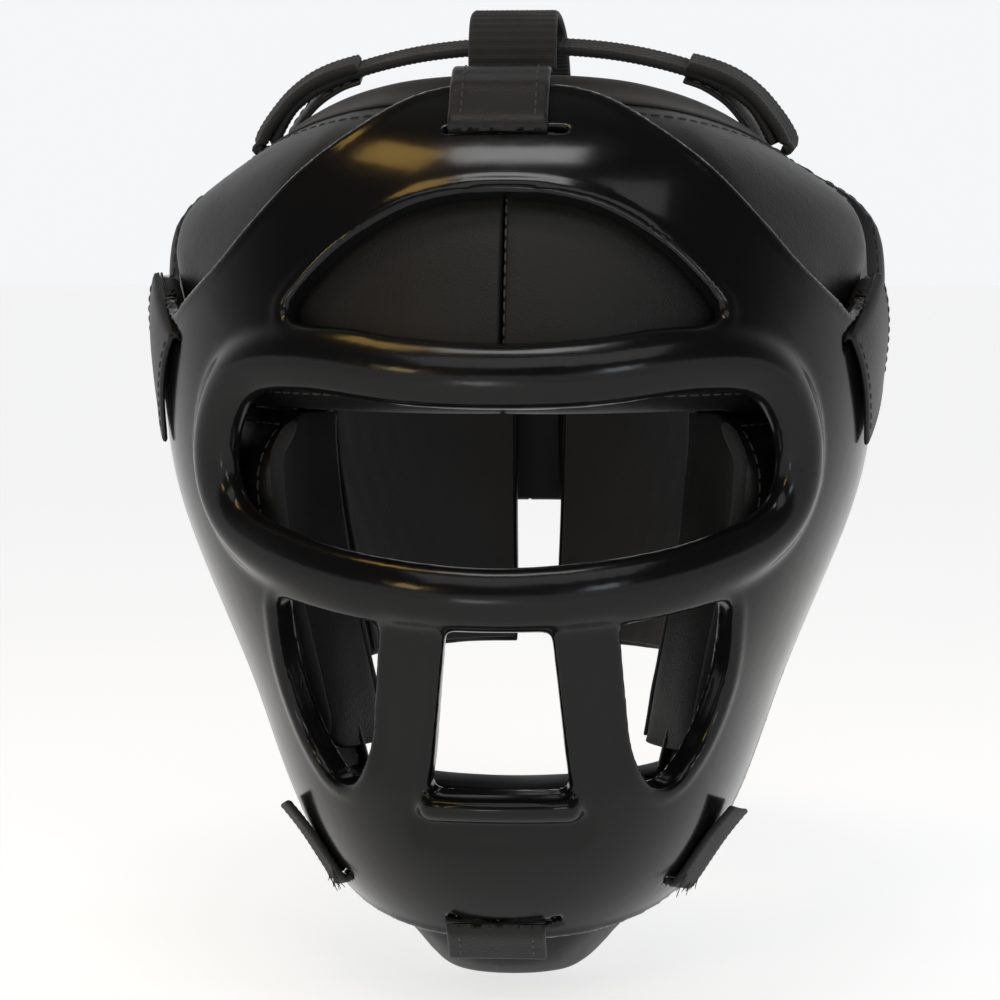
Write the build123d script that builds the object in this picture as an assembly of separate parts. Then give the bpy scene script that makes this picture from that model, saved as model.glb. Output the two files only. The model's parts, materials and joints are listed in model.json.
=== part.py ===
from build123d import *
import os
from math import radians, degrees, sin, cos

# Boxing headgear with a moulded face grill.  Millimetres, +Z up, +X to the
# wearer's left, -Y forward.  The origin is the centre of the head opening, in
# the plane of the lowest rim of the chin pad.

# ---- head space -------------------------------------------------------------
HEAD_HALF_WIDTH = 78.0
HEAD_HALF_DEPTH = 97.0
HEAD_TOP = 265.0
WIDEST_LEVEL = 175.0
CROWN_POWER = 2.5
JAW_WIDTH_SHARE = 0.66
JAW_DEPTH_SHARE = 0.70
JAW_BOTTOM = 20.0
JAW_RISE = 140.0
CHIN_TAPER = 0.22
CHIN_TAPER_LEVEL = 30.0

# ---- padded guard -----------------------------------------------------------
COVER = 1.4
LINING = 1.1
GAP = 0.3
FRONT_THICKNESS = 32.0
REAR_THICKNESS = 24.0
RIM_FRONT = 258.5
RIM_SIDE = 240.0
RIM_REAR = 222.0
RIM_TURN = 75.0
FOREHEAD_EDGE = 82.0
FOREHEAD_BOTTOM = 163.0
CHEEK_INNER_EDGE = 34.5
SIDE_REAR_EDGE = 125.0
SIDE_BOTTOM = 60.0
SIDE_BOTTOM_REAR = 76.0
REAR_INNER_EDGE = 175.5
REAR_BOTTOM = 72.0
CHIN_EDGE = 50.0
CHIN_TOP = 53.0
CHIN_SIDE_BOTTOM = 20.0
SEAM = 0.45
EAR_HEIGHT = 40.0
EAR_WIDTH = 26.0
EAR_LEVEL = 148.0
EAR_ANGLE = 100.0
BINDING = 1.5
SWELL_START = 75.5
SWELL_REACH = 12.5

# ---- face grill -------------------------------------------------------------
WALL = 4.5
RING_RISE = 3.0
STANDOFF = 3.4
GRILL_CENTRE_Y = -25.0
GRILL_POWER = 2.3
# level, half width, forward reach of the grill's outer surface
GRILL_STATIONS = (
    (-8.0, 37.0, 86.0),
    (8.0, 47.0, 101.0),
    (19.0, 56.0, 111.0),
    (33.0, 64.5, 121.0),
    (49.0, 71.5, 128.0),
    (78.0, 81.5, 135.0),
    (113.0, 96.0, 140.0),
    (140.0, 105.5, 138.0),
    (163.0, 109.0, 135.0),
    (183.0, 110.5, 131.0),
    (203.0, 110.5, 124.0),
    (227.0, 107.0, 113.0),
    (243.0, 102.0, 101.0),
    (252.0, 97.0, 91.0),
    (266.0, 88.0, 74.0),
)
EYE_OPENING = (
    (0.0, 166.6), (27.0, 167.6), (56.0, 171.0), (73.0, 168.0), (80.5, 152.5),
    (76.5, 136.0), (56.0, 127.4), (27.5, 122.6), (0.0, 120.8),
)
EYE_RING = (
    (0.0, 183.0), (30.0, 185.0), (60.0, 186.5), (84.0, 176.0), (93.0, 152.0),
    (87.0, 130.0), (69.0, 115.0), (30.0, 107.5), (0.0, 106.2),
)
FOREHEAD_OPENING = (
    (0.0, 225.6), (25.0, 222.1), (45.0, 210.8), (59.0, 197.0), (61.5, 191.0),
    (56.0, 187.4), (41.0, 186.4), (27.0, 184.2), (0.0, 182.4),
)
SIDE_VENT = (
    (34.0, 107.0), (66.0, 111.6), (65.5, 88.0), (59.0, 69.0), (50.0, 56.5),
    (43.0, 56.0), (37.5, 66.0),
)
VENT_CORNER = 3.5
NOSE_GAP_TOP = (15.4, 105.0)
NOSE_GAP_BOTTOM = (21.0, 56.3)
NOSE_GAP_CORNER = 2.5
LIP_HALF_WIDTH = 25.5
LIP_LEVELS = (43.5, 54.5)
LIP_RISE = 4.0
GRILL_ARCH = (
    (0.0, 257.0), (14.0, 256.8), (27.0, 253.8), (39.0, 247.2), (57.0, 234.0),
    (72.0, 219.0), (84.0, 205.5), (96.0, 194.0),
)
GRILL_LUG = ((96.0, 194.0), (100.0, 193.0), (104.0, 203.0), (107.0, 212.0), (130.0, 214.0))
GRILL_FOOT = (
    (0.0, 9.5), (30.0, 11.3), (46.0, 15.5), (60.0, 25.0), (80.0, 42.0), (130.0, 60.0),
)
# rear edge of the grill in side view: y, z
GRILL_REAR = (
    (-58.0, -20.0), (-60.0, 28.0), (-50.0, 50.0), (-37.0, 100.0), (-31.0, 150.0),
    (-33.0, 190.0), (-38.0, 214.0), (-62.0, 224.0), (-74.0, 272.0),
)

# ---- straps -----------------------------------------------------------------
STRAP = 1.3
BASE_GAP = 1.1
SLOT_HEIGHT = 3.0
SLOT_MARGIN = 2.0
TOP_TAB_WIDTH = 28.0
CHIN_TAB_WIDTH = 28.0
TEMPLE_WIDTH = 36.0
JAW_STRAP_WIDTH = 24.0
WEBBING_WIDTH = 25.0
WEBBING = 1.8
CROWN_STRAP_Y = -8.0
REAR_STRAP_BOTTOM = 118.0
REAR_STRAP_TOP = 172.0
REAR_STRAP = 2.4
LABEL_WIDTH = 56.0
LABEL_HEIGHT = 34.0

FAR = 400.0


# ---- curves of the head and the guard ----------------------------------------
def smooth(t):
    t = min(max(t, 0.0), 1.0)
    return t * t * (3.0 - 2.0 * t)


def head_axes(z):
    """Half width and half depth of the head space at one level."""
    if z >= WIDEST_LEVEL:
        rise = min((z - WIDEST_LEVEL) / (HEAD_TOP - WIDEST_LEVEL), 0.97)
        share = (1.0 - rise**CROWN_POWER) ** (1.0 / CROWN_POWER)
        return HEAD_HALF_WIDTH * share, HEAD_HALF_DEPTH * share
    rise = smooth((z - JAW_BOTTOM) / JAW_RISE)
    width = JAW_WIDTH_SHARE + (1.0 - JAW_WIDTH_SHARE) * rise
    depth = JAW_DEPTH_SHARE + (1.0 - JAW_DEPTH_SHARE) * rise
    chin = 1.0 - CHIN_TAPER * smooth(1.0 - z / CHIN_TAPER_LEVEL)
    return HEAD_HALF_WIDTH * width * chin, HEAD_HALF_DEPTH * depth * chin


def head_radius(phi, z):
    """Distance from the upright axis to the head space, phi from the front."""
    width, depth = head_axes(z)
    return ((sin(phi) / width) ** 2 + (cos(phi) / depth) ** 2) ** -0.5


def grill_axes(z):
    """Half width and forward reach of the grill's outer surface at one level."""
    low = GRILL_STATIONS[0]
    for high in GRILL_STATIONS[1:]:
        if z <= high[0]:
            break
        low = high
    t = min(max((z - low[0]) / max(high[0] - low[0], 1e-6), 0.0), 1.0)
    return low[1] + t * (high[1] - low[1]), low[2] + t * (high[2] - low[2])


def grill_radius(phi, z, grow):
    """Distance from the upright axis to the grill's surface, grown by grow."""
    width, reach = grill_axes(z)
    width += grow
    reach += grow + GRILL_CENTRE_Y

    def outside(r):
        x = abs(r * sin(phi)) / width
        y = max(0.0, (r * cos(phi) + GRILL_CENTRE_Y) / reach)
        return x**GRILL_POWER + y**GRILL_POWER - 1.0

    near, far = 10.0, 220.0
    for _ in range(40):
        middle = 0.5 * (near + far)
        if outside(middle) > 0.0:
            far = middle
        else:
            near = middle
    return near


def rim_level(phi):
    """Level of the guard's top rim around the head."""
    angle = abs(degrees(phi))
    if angle < RIM_TURN:
        return RIM_SIDE + (RIM_FRONT - RIM_SIDE) * (1.0 - (angle / RIM_TURN) ** 2.5)
    return RIM_SIDE - (RIM_SIDE - RIM_REAR) * smooth((angle - RIM_TURN) / (180.0 - RIM_TURN))


def guard_radius(phi, z):
    """Outer surface of the padding before its edges are rounded."""
    inner = head_radius(phi, z)
    angle = abs(degrees(phi))
    if angle <= 90.0:
        clear = WALL + STANDOFF
        swell = smooth((angle - SWELL_START) / SWELL_REACH)
        grow = -clear + (clear - 1.5) * swell
        return min(grill_radius(phi, z, grow), inner + FRONT_THICKNESS + 4.0 * swell)
    side = min(grill_axes(z)[0] - 1.5 - head_axes(z)[0], FRONT_THICKNESS + 4.0)
    blend = smooth((angle - 90.0) / 50.0)
    return inner + side + (REAR_THICKNESS - side) * blend


def side_bottom_level(phi):
    """Lower edge of the cheek and ear pads, rising towards the nape."""
    angle = abs(degrees(phi))
    return SIDE_BOTTOM + (SIDE_BOTTOM_REAR - SIDE_BOTTOM) * smooth((angle - 50.0) / (SIDE_REAR_EDGE - 50.0))


def chin_bottom_level(phi):
    """Lower edge of the chin pad, lowest in front."""
    return CHIN_SIDE_BOTTOM * smooth(abs(degrees(phi)) / CHIN_EDGE)


def rounding(distance, reach, share):
    """Share of the thickness lost at a given distance from a sewn edge."""
    return share * max(0.0, 1.0 - distance / reach) ** 3


# ---- padded panels ----------------------------------------------------------
def panel(start, end, bottom, top):
    """A panel of padding between two angles in degrees, from bottom to top.

    bottom and top are levels or functions of the angle in radians."""
    low = bottom if callable(bottom) else lambda phi: bottom
    high = top if callable(top) else lambda phi: top
    return {"start": radians(start), "end": radians(end), "bottom": low, "top": high}


def panel_surface(piece, phi, z):
    """Crowned outer surface of a panel: its edges are drawn in by the seams."""
    inner = head_radius(phi, z)
    full = guard_radius(phi, z)
    arc = full * min(phi - piece["start"], piece["end"] - phi)
    top_share = 0.30 + 0.32 * smooth(abs(degrees(phi)) / 60.0)
    lost = rounding(piece["top"](phi) - z, 33.0, top_share)
    lost = max(lost, rounding(z - piece["bottom"](phi), 16.0, 0.35))
    lost = max(lost, rounding(arc, 12.0, 0.22))
    return full - lost * (full - inner)


def panel_block(piece, margin, lift, outer):
    """Solid between the head space plus lift and outer(phi, z), inset by margin."""
    mean = 95.0
    start = piece["start"] + margin / mean
    end = piece["end"] - margin / mean
    wires = []
    for share in (0.0, 0.05, 0.14, 0.32, 0.5, 0.68, 0.86, 0.95, 1.0):
        phi = start + share * (end - start)
        low = piece["bottom"](phi) + margin
        high = piece["top"](phi) - margin

        def place(radius, z):
            return Vector(radius * sin(phi), -radius * cos(phi), z)

        inside = []
        for step in (0.0, 0.2, 0.4, 0.6, 0.8, 1.0):
            z = low + step * (high - low)
            inside.append(place(head_radius(phi, z) + lift, z))
        outside = []
        for step in (1.0, 0.96, 0.88, 0.76, 0.6, 0.4, 0.22, 0.08, 0.0):
            z = low + step * (high - low)
            outside.append(place(outer(phi, z), z))
        wires.append(Wire([
            Edge.make_spline(inside),
            Edge.make_line(inside[-1], outside[0]),
            Edge.make_spline(outside),
            Edge.make_line(outside[-1], inside[0]),
        ]))
    return Part(Solid.make_loft(wires).wrapped)


def panel_layers(piece, with_ear_hole=False):
    """Open-backed cover, foam core and lining of one panel."""
    def skin(drop):
        return lambda phi, z: panel_surface(piece, phi, z) - drop

    whole = panel_block(piece, 0.0, 0.0, skin(0.0))
    hollow = panel_block(piece, COVER, -8.0, skin(COVER))
    inset = COVER + GAP
    foam = panel_block(piece, inset, LINING + GAP, skin(inset))
    lining = panel_block(piece, inset, 0.0, lambda phi, z: head_radius(phi, z) + LINING)
    if with_ear_hole:
        whole = whole - ear_plug(0.0)
        hollow = hollow - ear_plug(COVER)
        foam = foam - ear_plug(inset)
        lining = lining - ear_plug(inset)
    return {"cover": whole - hollow, "foam": foam, "lining": lining}


def ear_plug(grow):
    """Elliptical plug along the ear hole, pointing away from the head."""
    phi = radians(EAR_ANGLE)
    outward = Vector(sin(phi), -cos(phi), 0.0)
    plane = Plane(
        origin=outward * 40.0 + Vector(0, 0, EAR_LEVEL), x_dir=(-outward.Y, outward.X, 0), z_dir=outward
    )
    return extrude(plane * Ellipse(EAR_WIDTH / 2 + grow, EAR_HEIGHT / 2 + grow), amount=110.0)


# ---- grill ------------------------------------------------------------------
def grill_section(z, width, reach):
    """Closed plan section: superelliptic front, straight sides, flat back."""
    depth = reach + GRILL_CENTRE_Y
    points = []
    for step in range(-8, 9):
        t = radians(90.0 * step / 8.0)
        x = width * abs(sin(t)) ** (2.0 / GRILL_POWER)
        y = GRILL_CENTRE_Y - depth * abs(cos(t)) ** (2.0 / GRILL_POWER)
        points.append(Vector(x if step > 0 else -x, y, z))
    back_left = Vector(-width, 5.0, z)
    back_right = Vector(width, 5.0, z)
    return Wire([
        Edge.make_spline(points, tangents=(Vector(0, -1, 0), Vector(0, 1, 0))),
        Edge.make_line(points[-1], back_right),
        Edge.make_line(back_right, back_left),
        Edge.make_line(back_left, points[0]),
    ])


def grill_body(grow):
    """Everything inside the grill's outer surface grown by grow."""
    wires = [grill_section(z, width + grow, reach + grow) for z, width, reach in GRILL_STATIONS]
    return Part(Solid.make_loft(wires).wrapped)


def grill_point(y, z):
    """Point of the right half of the grill's outer surface at a given y and z."""
    width, reach = grill_axes(z)
    depth = reach + GRILL_CENTRE_Y
    share = max(0.0, (GRILL_CENTRE_Y - y) / depth)
    return Vector(width * (1.0 - share**GRILL_POWER) ** (1.0 / GRILL_POWER), y, z)


def grill_front(x, z):
    """Point of the grill's outer surface straight ahead of a given x and z."""
    width, reach = grill_axes(z)
    depth = reach + GRILL_CENTRE_Y
    share = (1.0 - (abs(x) / width) ** GRILL_POWER) ** (1.0 / GRILL_POWER)
    return Vector(x, GRILL_CENTRE_Y - depth * share, z)


def mirrored_points(half):
    """Both halves of an outline whose half begins and ends on the centre line."""
    return [Vector(x, 0, z) for x, z in half] + [Vector(-x, 0, z) for x, z in half[-2:0:-1]]


def through(face):
    return extrude(face, amount=FAR, dir=(0, 1, 0), both=True)


def round_prism(half):
    """Front-to-back prism of a closed smooth outline."""
    edge = Edge.make_spline(mirrored_points(half), periodic=True)
    return through(Face(Wire([edge])))


def corner_prism(points, radius, side=1):
    """Front-to-back prism of a polygon with rounded corners."""
    corners = [Vector(side * x, 0, z) for x, z in points]
    face = Face(Wire.make_polygon(corners, close=True))
    return through(face.fillet_2d(radius, face.vertices()))


def outline_prism():
    """Front outline of the grill: arched top, straight sides, curved foot."""
    top = Edge.make_spline([Vector(x, 0, z) for x, z in GRILL_ARCH], tangents=((1, 0, 0), (1, 0, -1)))
    rest = [Vector(x, 0, z) for x, z in GRILL_LUG]
    foot = Edge.make_spline([Vector(x, 0, z) for x, z in GRILL_FOOT])
    edges = [top, foot, Edge.make_line(rest[-1], foot @ 1), Edge.make_line(foot @ 0, top @ 0)]
    edges += [Edge.make_line(a, b) for a, b in zip(rest, rest[1:])]
    half = through(Face(Wire(edges)))
    return half + mirror(half, about=Plane.YZ)


def side_prism():
    """Side view of the grill: everything ahead of its rear edge."""
    edge = Edge.make_spline([Vector(0, y, z) for y, z in GRILL_REAR])
    front_top = Vector(0, -FAR, GRILL_REAR[-1][1])
    front_foot = Vector(0, -FAR, GRILL_REAR[0][1])
    wire = Wire([
        edge,
        Edge.make_line(edge @ 1, front_top),
        Edge.make_line(front_top, front_foot),
        Edge.make_line(front_foot, edge @ 0),
    ])
    return extrude(Face(wire), amount=FAR, dir=(1, 0, 0), both=True)


# ---- straps -----------------------------------------------------------------
def strap_seat(point, width_hint, run_hint):
    """Plane on the grill at a slot: x along the strap's run, z outward."""
    step = 0.5
    if abs(point.X) > 70.0:
        ahead = grill_point(point.Y - step, point.Z)
        above = grill_point(point.Y, point.Z + step)
    else:
        ahead = grill_front(point.X + step, point.Z)
        above = grill_front(point.X, point.Z + step)
    normal = (ahead - point).cross(above - point).normalized()
    if normal.dot(Vector(point.X, point.Y, 0)) < 0:
        normal = -normal
    width = (width_hint - normal * normal.dot(width_hint)).normalized()
    run = width.cross(normal)
    if run.dot(run_hint) < 0:
        run = -run
    return Plane(origin=point, x_dir=run, z_dir=normal)


def seat_box(seat, start, end, width, shift=0.0):
    """Tall box on a strap seat from start to end along the strap's run."""
    box = Box(end - start, width, 36.0)
    return seat * Location(((start + end) / 2, shift, 0)) * box


def layer(skins, low, high):
    return skins[high] - skins[low]


def strap_pieces(skins, seat, width, reach_in, reach_out, shift=0.0):
    """Fixed end inside the grill and free end outside it, through one slot."""
    half = STRAP / 2
    inner = layer(skins, "inside_deep", "inside") & seat_box(seat, -half, reach_in, width, shift)
    neck = layer(skins, "inside_deep", "neck") & seat_box(seat, -half, half, width, shift)
    tail = layer(skins, "tail_low", "tail_high") & seat_box(seat, -half, reach_out, width, shift)
    return inner + neck, tail


def slot_cut(seat, width, shift=0.0):
    return seat_box(seat, -SLOT_HEIGHT / 2, SLOT_HEIGHT / 2, width + 2 * SLOT_MARGIN, shift)


def ribbon(path, thickness, width, across):
    """Flat strap: path is a list of points in one plane, across its width."""
    curve = Edge.make_spline(path)
    upper = []
    lower = []
    count = 14
    for i in range(count + 1):
        place = curve @ (i / count)
        side = (curve % (i / count)).cross(across).normalized() * (thickness / 2)
        upper.append(place + side)
        lower.append(place - side)
    wire = Wire([
        Edge.make_spline(upper),
        Edge.make_line(upper[-1], lower[-1]),
        Edge.make_spline(lower),
        Edge.make_line(lower[0], upper[0]),
    ])
    return extrude(Face(wire), amount=width / 2, dir=across, both=True)


# ---- build ------------------------------------------------------------------
def pick_solid(shape):
    """The one wanted solid of a boolean result, without slivers."""
    return max(shape.solids(), key=lambda solid: solid.volume)


def add_pair(nodes, name, solid):
    """Store the piece on the wearer's left, at +X, and its mirror image."""
    nodes[f"{name}_left"] = solid
    nodes[f"{name}_right"] = mirror(solid, about=Plane.YZ)


def build_guard(nodes):
    forehead = panel(-FOREHEAD_EDGE, FOREHEAD_EDGE, FOREHEAD_BOTTOM, rim_level)
    layers = panel_layers(forehead)
    half_space = Pos(FAR / 2 + 0.12, 0, 200) * Box(FAR, FAR, FAR)
    nodes["forehead_cover_left"] = pick_solid(layers["cover"] & half_space)
    nodes["forehead_cover_right"] = pick_solid(layers["cover"] & mirror(half_space, about=Plane.YZ))
    nodes["forehead_foam"] = pick_solid(layers["foam"])
    nodes["forehead_lining"] = pick_solid(layers["lining"])

    chin = panel(-CHIN_EDGE, CHIN_EDGE, chin_bottom_level, CHIN_TOP)
    for name, shape in panel_layers(chin).items():
        nodes["chin_" + name] = pick_solid(shape)

    pairs = {
        "cheek": panel(CHEEK_INNER_EDGE, FOREHEAD_EDGE, side_bottom_level, FOREHEAD_BOTTOM - 1.0),
        "ear": panel(FOREHEAD_EDGE + SEAM, SIDE_REAR_EDGE - SEAM, side_bottom_level, rim_level),
        "rear": panel(SIDE_REAR_EDGE + SEAM, REAR_INNER_EDGE, REAR_BOTTOM, rim_level),
    }
    for pad, piece in pairs.items():
        layers = panel_layers(piece, pad == "ear")
        for name, shape in layers.items():
            solid = pick_solid(shape)
            add_pair(nodes, f"{pad}_{name}", solid)

    def band(drop):
        return lambda phi, z: head_radius(phi, z) + drop

    rim = panel(-FOREHEAD_EDGE, FOREHEAD_EDGE, lambda phi: rim_level(phi) + GAP,
                lambda phi: rim_level(phi) + GAP + BINDING)
    nodes["forehead_top_binding"] = panel_block(rim, 0.0, 3.0, band(14.0))
    edge = panel(CHEEK_INNER_EDGE - 1.2, CHEEK_INNER_EDGE - 0.3, SIDE_BOTTOM + 2.0, FOREHEAD_BOTTOM - 3.0)
    add_pair(nodes, "face_binding", panel_block(edge, 0.0, 2.0, band(21.0)))


def build_grill(nodes):
    skins = {
        "ring": grill_body(RING_RISE),
        "tail_high": grill_body(0.7 + STRAP),
        "tail_low": grill_body(0.7),
        "neck": grill_body(0.3),
        "outer": grill_body(0.0),
        "inner": grill_body(-WALL),
        "inside": grill_body(-WALL - BASE_GAP),
        "inside_deep": grill_body(-WALL - BASE_GAP - STRAP),
    }
    shell = layer(skins, "inner", "outer") & outline_prism() & side_prism()
    ring = layer(skins, "inner", "ring") & round_prism(EYE_RING)
    lip_box = Pos(0, -100, sum(LIP_LEVELS) / 2)
    lip = (grill_body(LIP_RISE) - skins["inner"]) & (
        lip_box * Box(2 * LIP_HALF_WIDTH, 80, LIP_LEVELS[1] - LIP_LEVELS[0])
    )
    grill = shell + ring + lip
    grill -= round_prism(EYE_OPENING)
    grill -= round_prism(FOREHEAD_OPENING)
    for side in (1, -1):
        grill -= corner_prism(SIDE_VENT, VENT_CORNER, side)
    nose = (
        (-NOSE_GAP_TOP[0], NOSE_GAP_TOP[1]), NOSE_GAP_TOP,
        NOSE_GAP_BOTTOM, (-NOSE_GAP_BOTTOM[0], NOSE_GAP_BOTTOM[1]),
    )
    grill -= corner_prism(nose, NOSE_GAP_CORNER)

    seats = {
        "top": (strap_seat(grill_front(0, 243), Vector(1, 0, 0), Vector(0, 0, 1)), TOP_TAB_WIDTH, 9.5, 19.5, 1.5),
        "chin": (strap_seat(grill_front(0, 15.5), Vector(1, 0, 0), Vector(0, 0, -1)), CHIN_TAB_WIDTH, 8.0, 14.0, 0.5),
        "temple": (
            strap_seat(grill_point(-68, 191.5), Vector(0.31, 0.8, 0.51), Vector(0, 0.5, -0.85)),
            TEMPLE_WIDTH, 9.0, 38.0, 0.0,
        ),
        "jaw": (
            strap_seat(grill_front(50, 22), Vector(-0.3, -0.8, 0.3), Vector(0.6, 0.3, 0.7)),
            JAW_STRAP_WIDTH, 9.0, 26.0, 0.0,
        ),
    }
    for name, (seat, width, reach_in, reach_out, shift) in seats.items():
        cut = slot_cut(seat, width)
        base, tail = strap_pieces(skins, seat, width, reach_in, reach_out, shift)
        grill -= cut
        if name in ("top", "chin"):
            nodes[f"{name}_tab_base"] = pick_solid(base)
            nodes[f"{name}_tab_flap"] = pick_solid(tail)
            continue
        grill -= mirror(cut, about=Plane.YZ)
        add_pair(nodes, f"{name}_strap_base", pick_solid(base))
        add_pair(nodes, f"{name}_strap_tail", pick_solid(tail))
    nodes["face_grill"] = pick_solid(grill)


def build_crown(nodes):
    def side_path(*half):
        return [Vector(x, CROWN_STRAP_Y, z) for x, z in half]

    across = Vector(0, 1, 0)
    half = side_path((0, 273.0), (30, 271.0), (56, 264.5), (72, 255.5), (80, 242.5))
    path = [Vector(-point.X, point.Y, point.Z) for point in half[:0:-1]] + half
    nodes["crown_strap_side"] = ribbon(path, WEBBING, WEBBING_WIDTH, across)
    tail = side_path((52, 268.4), (66, 263.0), (77, 256.0), (84.5, 247.0))
    add_pair(nodes, "crown_strap_tail", ribbon(tail, WEBBING, WEBBING_WIDTH, across))
    anchor = side_path((55, 260.2), (64, 256.2), (71, 249.0), (75, 241.5))
    add_pair(nodes, "crown_anchor", ribbon(anchor, STRAP, WEBBING_WIDTH + 5.0, across))
    path = [Vector(0, y, z) for y, z in (
        (-69, 261.5), (-68, 270.0), (-61, 277.0), (-45, 279.5), (-15, 279.5), (20, 275.0),
        (60, 257.0), (88, 238.0), (106, 225.0), (117, 211.0), (121.5, 196.0),
    )]
    nodes["crown_strap_front_back"] = ribbon(path, WEBBING, WEBBING_WIDTH + 1.0, Vector(1, 0, 0))


def build_rear(nodes):
    def envelope(grow):
        return lambda phi, z: head_radius(phi, 145.0) + REAR_THICKNESS + 1.2 + grow

    def strap(start, end, bottom, top, low, high):
        piece = panel(start, end, bottom, top)
        outer = panel_block(piece, 0.0, 0.0, envelope(high))
        inner = panel_block(panel(start - 2, end + 2, bottom - 5, top + 5), 0.0, -20.0, envelope(low))
        return pick_solid(outer - inner)

    nodes["rear_strap"] = strap(141.0, 182.0, REAR_STRAP_BOTTOM, REAR_STRAP_TOP, 1.4, 1.4 + REAR_STRAP)
    nodes["rear_strap_tail"] = strap(182.3, 214.0, REAR_STRAP_BOTTOM, REAR_STRAP_TOP, 1.4, 1.4 + REAR_STRAP)
    nodes["rear_loop_patch"] = strap(188.0, 212.0, REAR_STRAP_BOTTOM + 6, REAR_STRAP_TOP - 6, 0.0, 1.0)
    nodes["rear_label"] = strap(
        148.0, 174.0, 145.0 - LABEL_HEIGHT / 2, 145.0 + LABEL_HEIGHT / 2, 1.6 + REAR_STRAP, 2.2 + REAR_STRAP
    )


def main():
    os.makedirs("parts", exist_ok=True)
    nodes = {}
    build_guard(nodes)
    build_grill(nodes)
    build_crown(nodes)
    build_rear(nodes)
    for name, shape in nodes.items():
        shape.label = name
        export_step(shape, f"parts/{name}.step")


main()
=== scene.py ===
import itertools
import json
import math
import random

import bmesh
import bpy
import mathutils
import numpy as np
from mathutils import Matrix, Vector
from mathutils.bvhtree import BVHTree


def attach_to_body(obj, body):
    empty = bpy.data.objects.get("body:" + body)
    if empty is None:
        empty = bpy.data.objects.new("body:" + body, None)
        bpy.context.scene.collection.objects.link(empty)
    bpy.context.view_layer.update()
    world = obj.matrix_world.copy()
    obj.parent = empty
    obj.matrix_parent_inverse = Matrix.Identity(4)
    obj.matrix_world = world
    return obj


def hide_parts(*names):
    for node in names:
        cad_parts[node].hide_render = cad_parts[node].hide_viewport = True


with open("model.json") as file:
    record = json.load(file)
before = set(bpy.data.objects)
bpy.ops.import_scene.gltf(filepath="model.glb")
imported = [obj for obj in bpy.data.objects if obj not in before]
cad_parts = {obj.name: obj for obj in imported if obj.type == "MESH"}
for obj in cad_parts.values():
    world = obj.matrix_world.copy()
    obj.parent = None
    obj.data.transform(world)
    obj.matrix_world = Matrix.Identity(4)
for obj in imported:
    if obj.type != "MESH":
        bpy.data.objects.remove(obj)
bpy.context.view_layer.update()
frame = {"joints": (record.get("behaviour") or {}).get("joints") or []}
JOINTS = {joint["name"]: joint for joint in frame["joints"]}
MM = 0.001

# ---------------------------------------------------------------- measures, mm
WALL = 4.5
GRILL_CENTRE_Y = -25.0
# power of the grill's rounded level sections; 2 would be an ellipse
GRILL_POWER = 2.3
# level, half width, forward reach of the grill's outer surface
GRILL_STATIONS = (
    (-8.0, 37.0, 86.0), (8.0, 47.0, 101.0), (19.0, 56.0, 111.0), (33.0, 64.5, 121.0),
    (49.0, 71.5, 128.0), (78.0, 81.5, 135.0), (113.0, 96.0, 140.0), (140.0, 105.5, 138.0),
    (163.0, 109.0, 135.0), (183.0, 110.5, 131.0), (203.0, 110.5, 124.0), (227.0, 107.0, 113.0),
    (243.0, 102.0, 101.0), (252.0, 97.0, 91.0), (266.0, 88.0, 74.0),
)
# outlines of the openings in the front view: x, z; the first two give the half at +x
EYE_OPENING = (
    (0.0, 166.6), (27.0, 167.6), (56.0, 171.0), (73.0, 168.0), (80.5, 152.5),
    (76.5, 136.0), (56.0, 127.4), (27.5, 122.6), (0.0, 120.8),
)
FOREHEAD_OPENING = (
    (0.0, 225.6), (25.0, 222.1), (45.0, 210.8), (59.0, 197.0), (61.5, 191.0),
    (56.0, 187.4), (41.0, 186.4), (27.0, 184.2), (0.0, 182.4),
)
SIDE_VENT = (
    (34.0, 107.0), (66.0, 111.6), (65.5, 88.0), (59.0, 69.0), (50.0, 56.5), (43.0, 56.0), (37.5, 66.0),
)
VENT_CORNERS = (4.0, 6.0, 12.0, 10.0, 6.0, 4.5, 8.0)
MOUTH_GAP = ((-15.4, 105.0), (15.4, 105.0), (21.0, 56.3), (-21.0, 56.3))
MOUTH_GAP_CORNER = 3.5
# half outline of the grill in the front view: top arch, temple lug and foot
ARCH = (
    (0.0, 257.0), (14.0, 256.8), (27.0, 253.8), (39.0, 247.2), (57.0, 234.0),
    (72.0, 219.0), (84.0, 205.5), (96.0, 194.0),
)
LUG = ((100.0, 189.5), (103.5, 194.0), (108.0, 200.5), (130.0, 209.0), (150.0, 130.0), (130.0, 60.0))
LUG_CORNERS = (3.0, 5.0, 4.0, 4.0, 4.0, 4.0)
FOOT = ((80.0, 42.0), (60.0, 25.0), (46.0, 15.5), (30.0, 11.3), (12.0, 9.6), (0.0, 9.5))
# rear edge of the grill in side view: y, z
GRILL_REAR = (
    (-58.0, -20.0), (-60.0, 28.0), (-50.0, 50.0), (-37.0, 100.0), (-31.0, 150.0),
    (-33.0, 190.0), (-38.0, 214.0), (-62.0, 224.0), (-74.0, 272.0),
)
GRID = 1.3
SAMPLED_X, SAMPLED_Y, SAMPLED_Z = (0.0, 120.0), (-150.0, -26.0), (2.0, 264.0)
SAMPLED_DEPTH = 20.0
SHELL_SIZE = 95.0
OUTSIDE = 8.0
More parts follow.
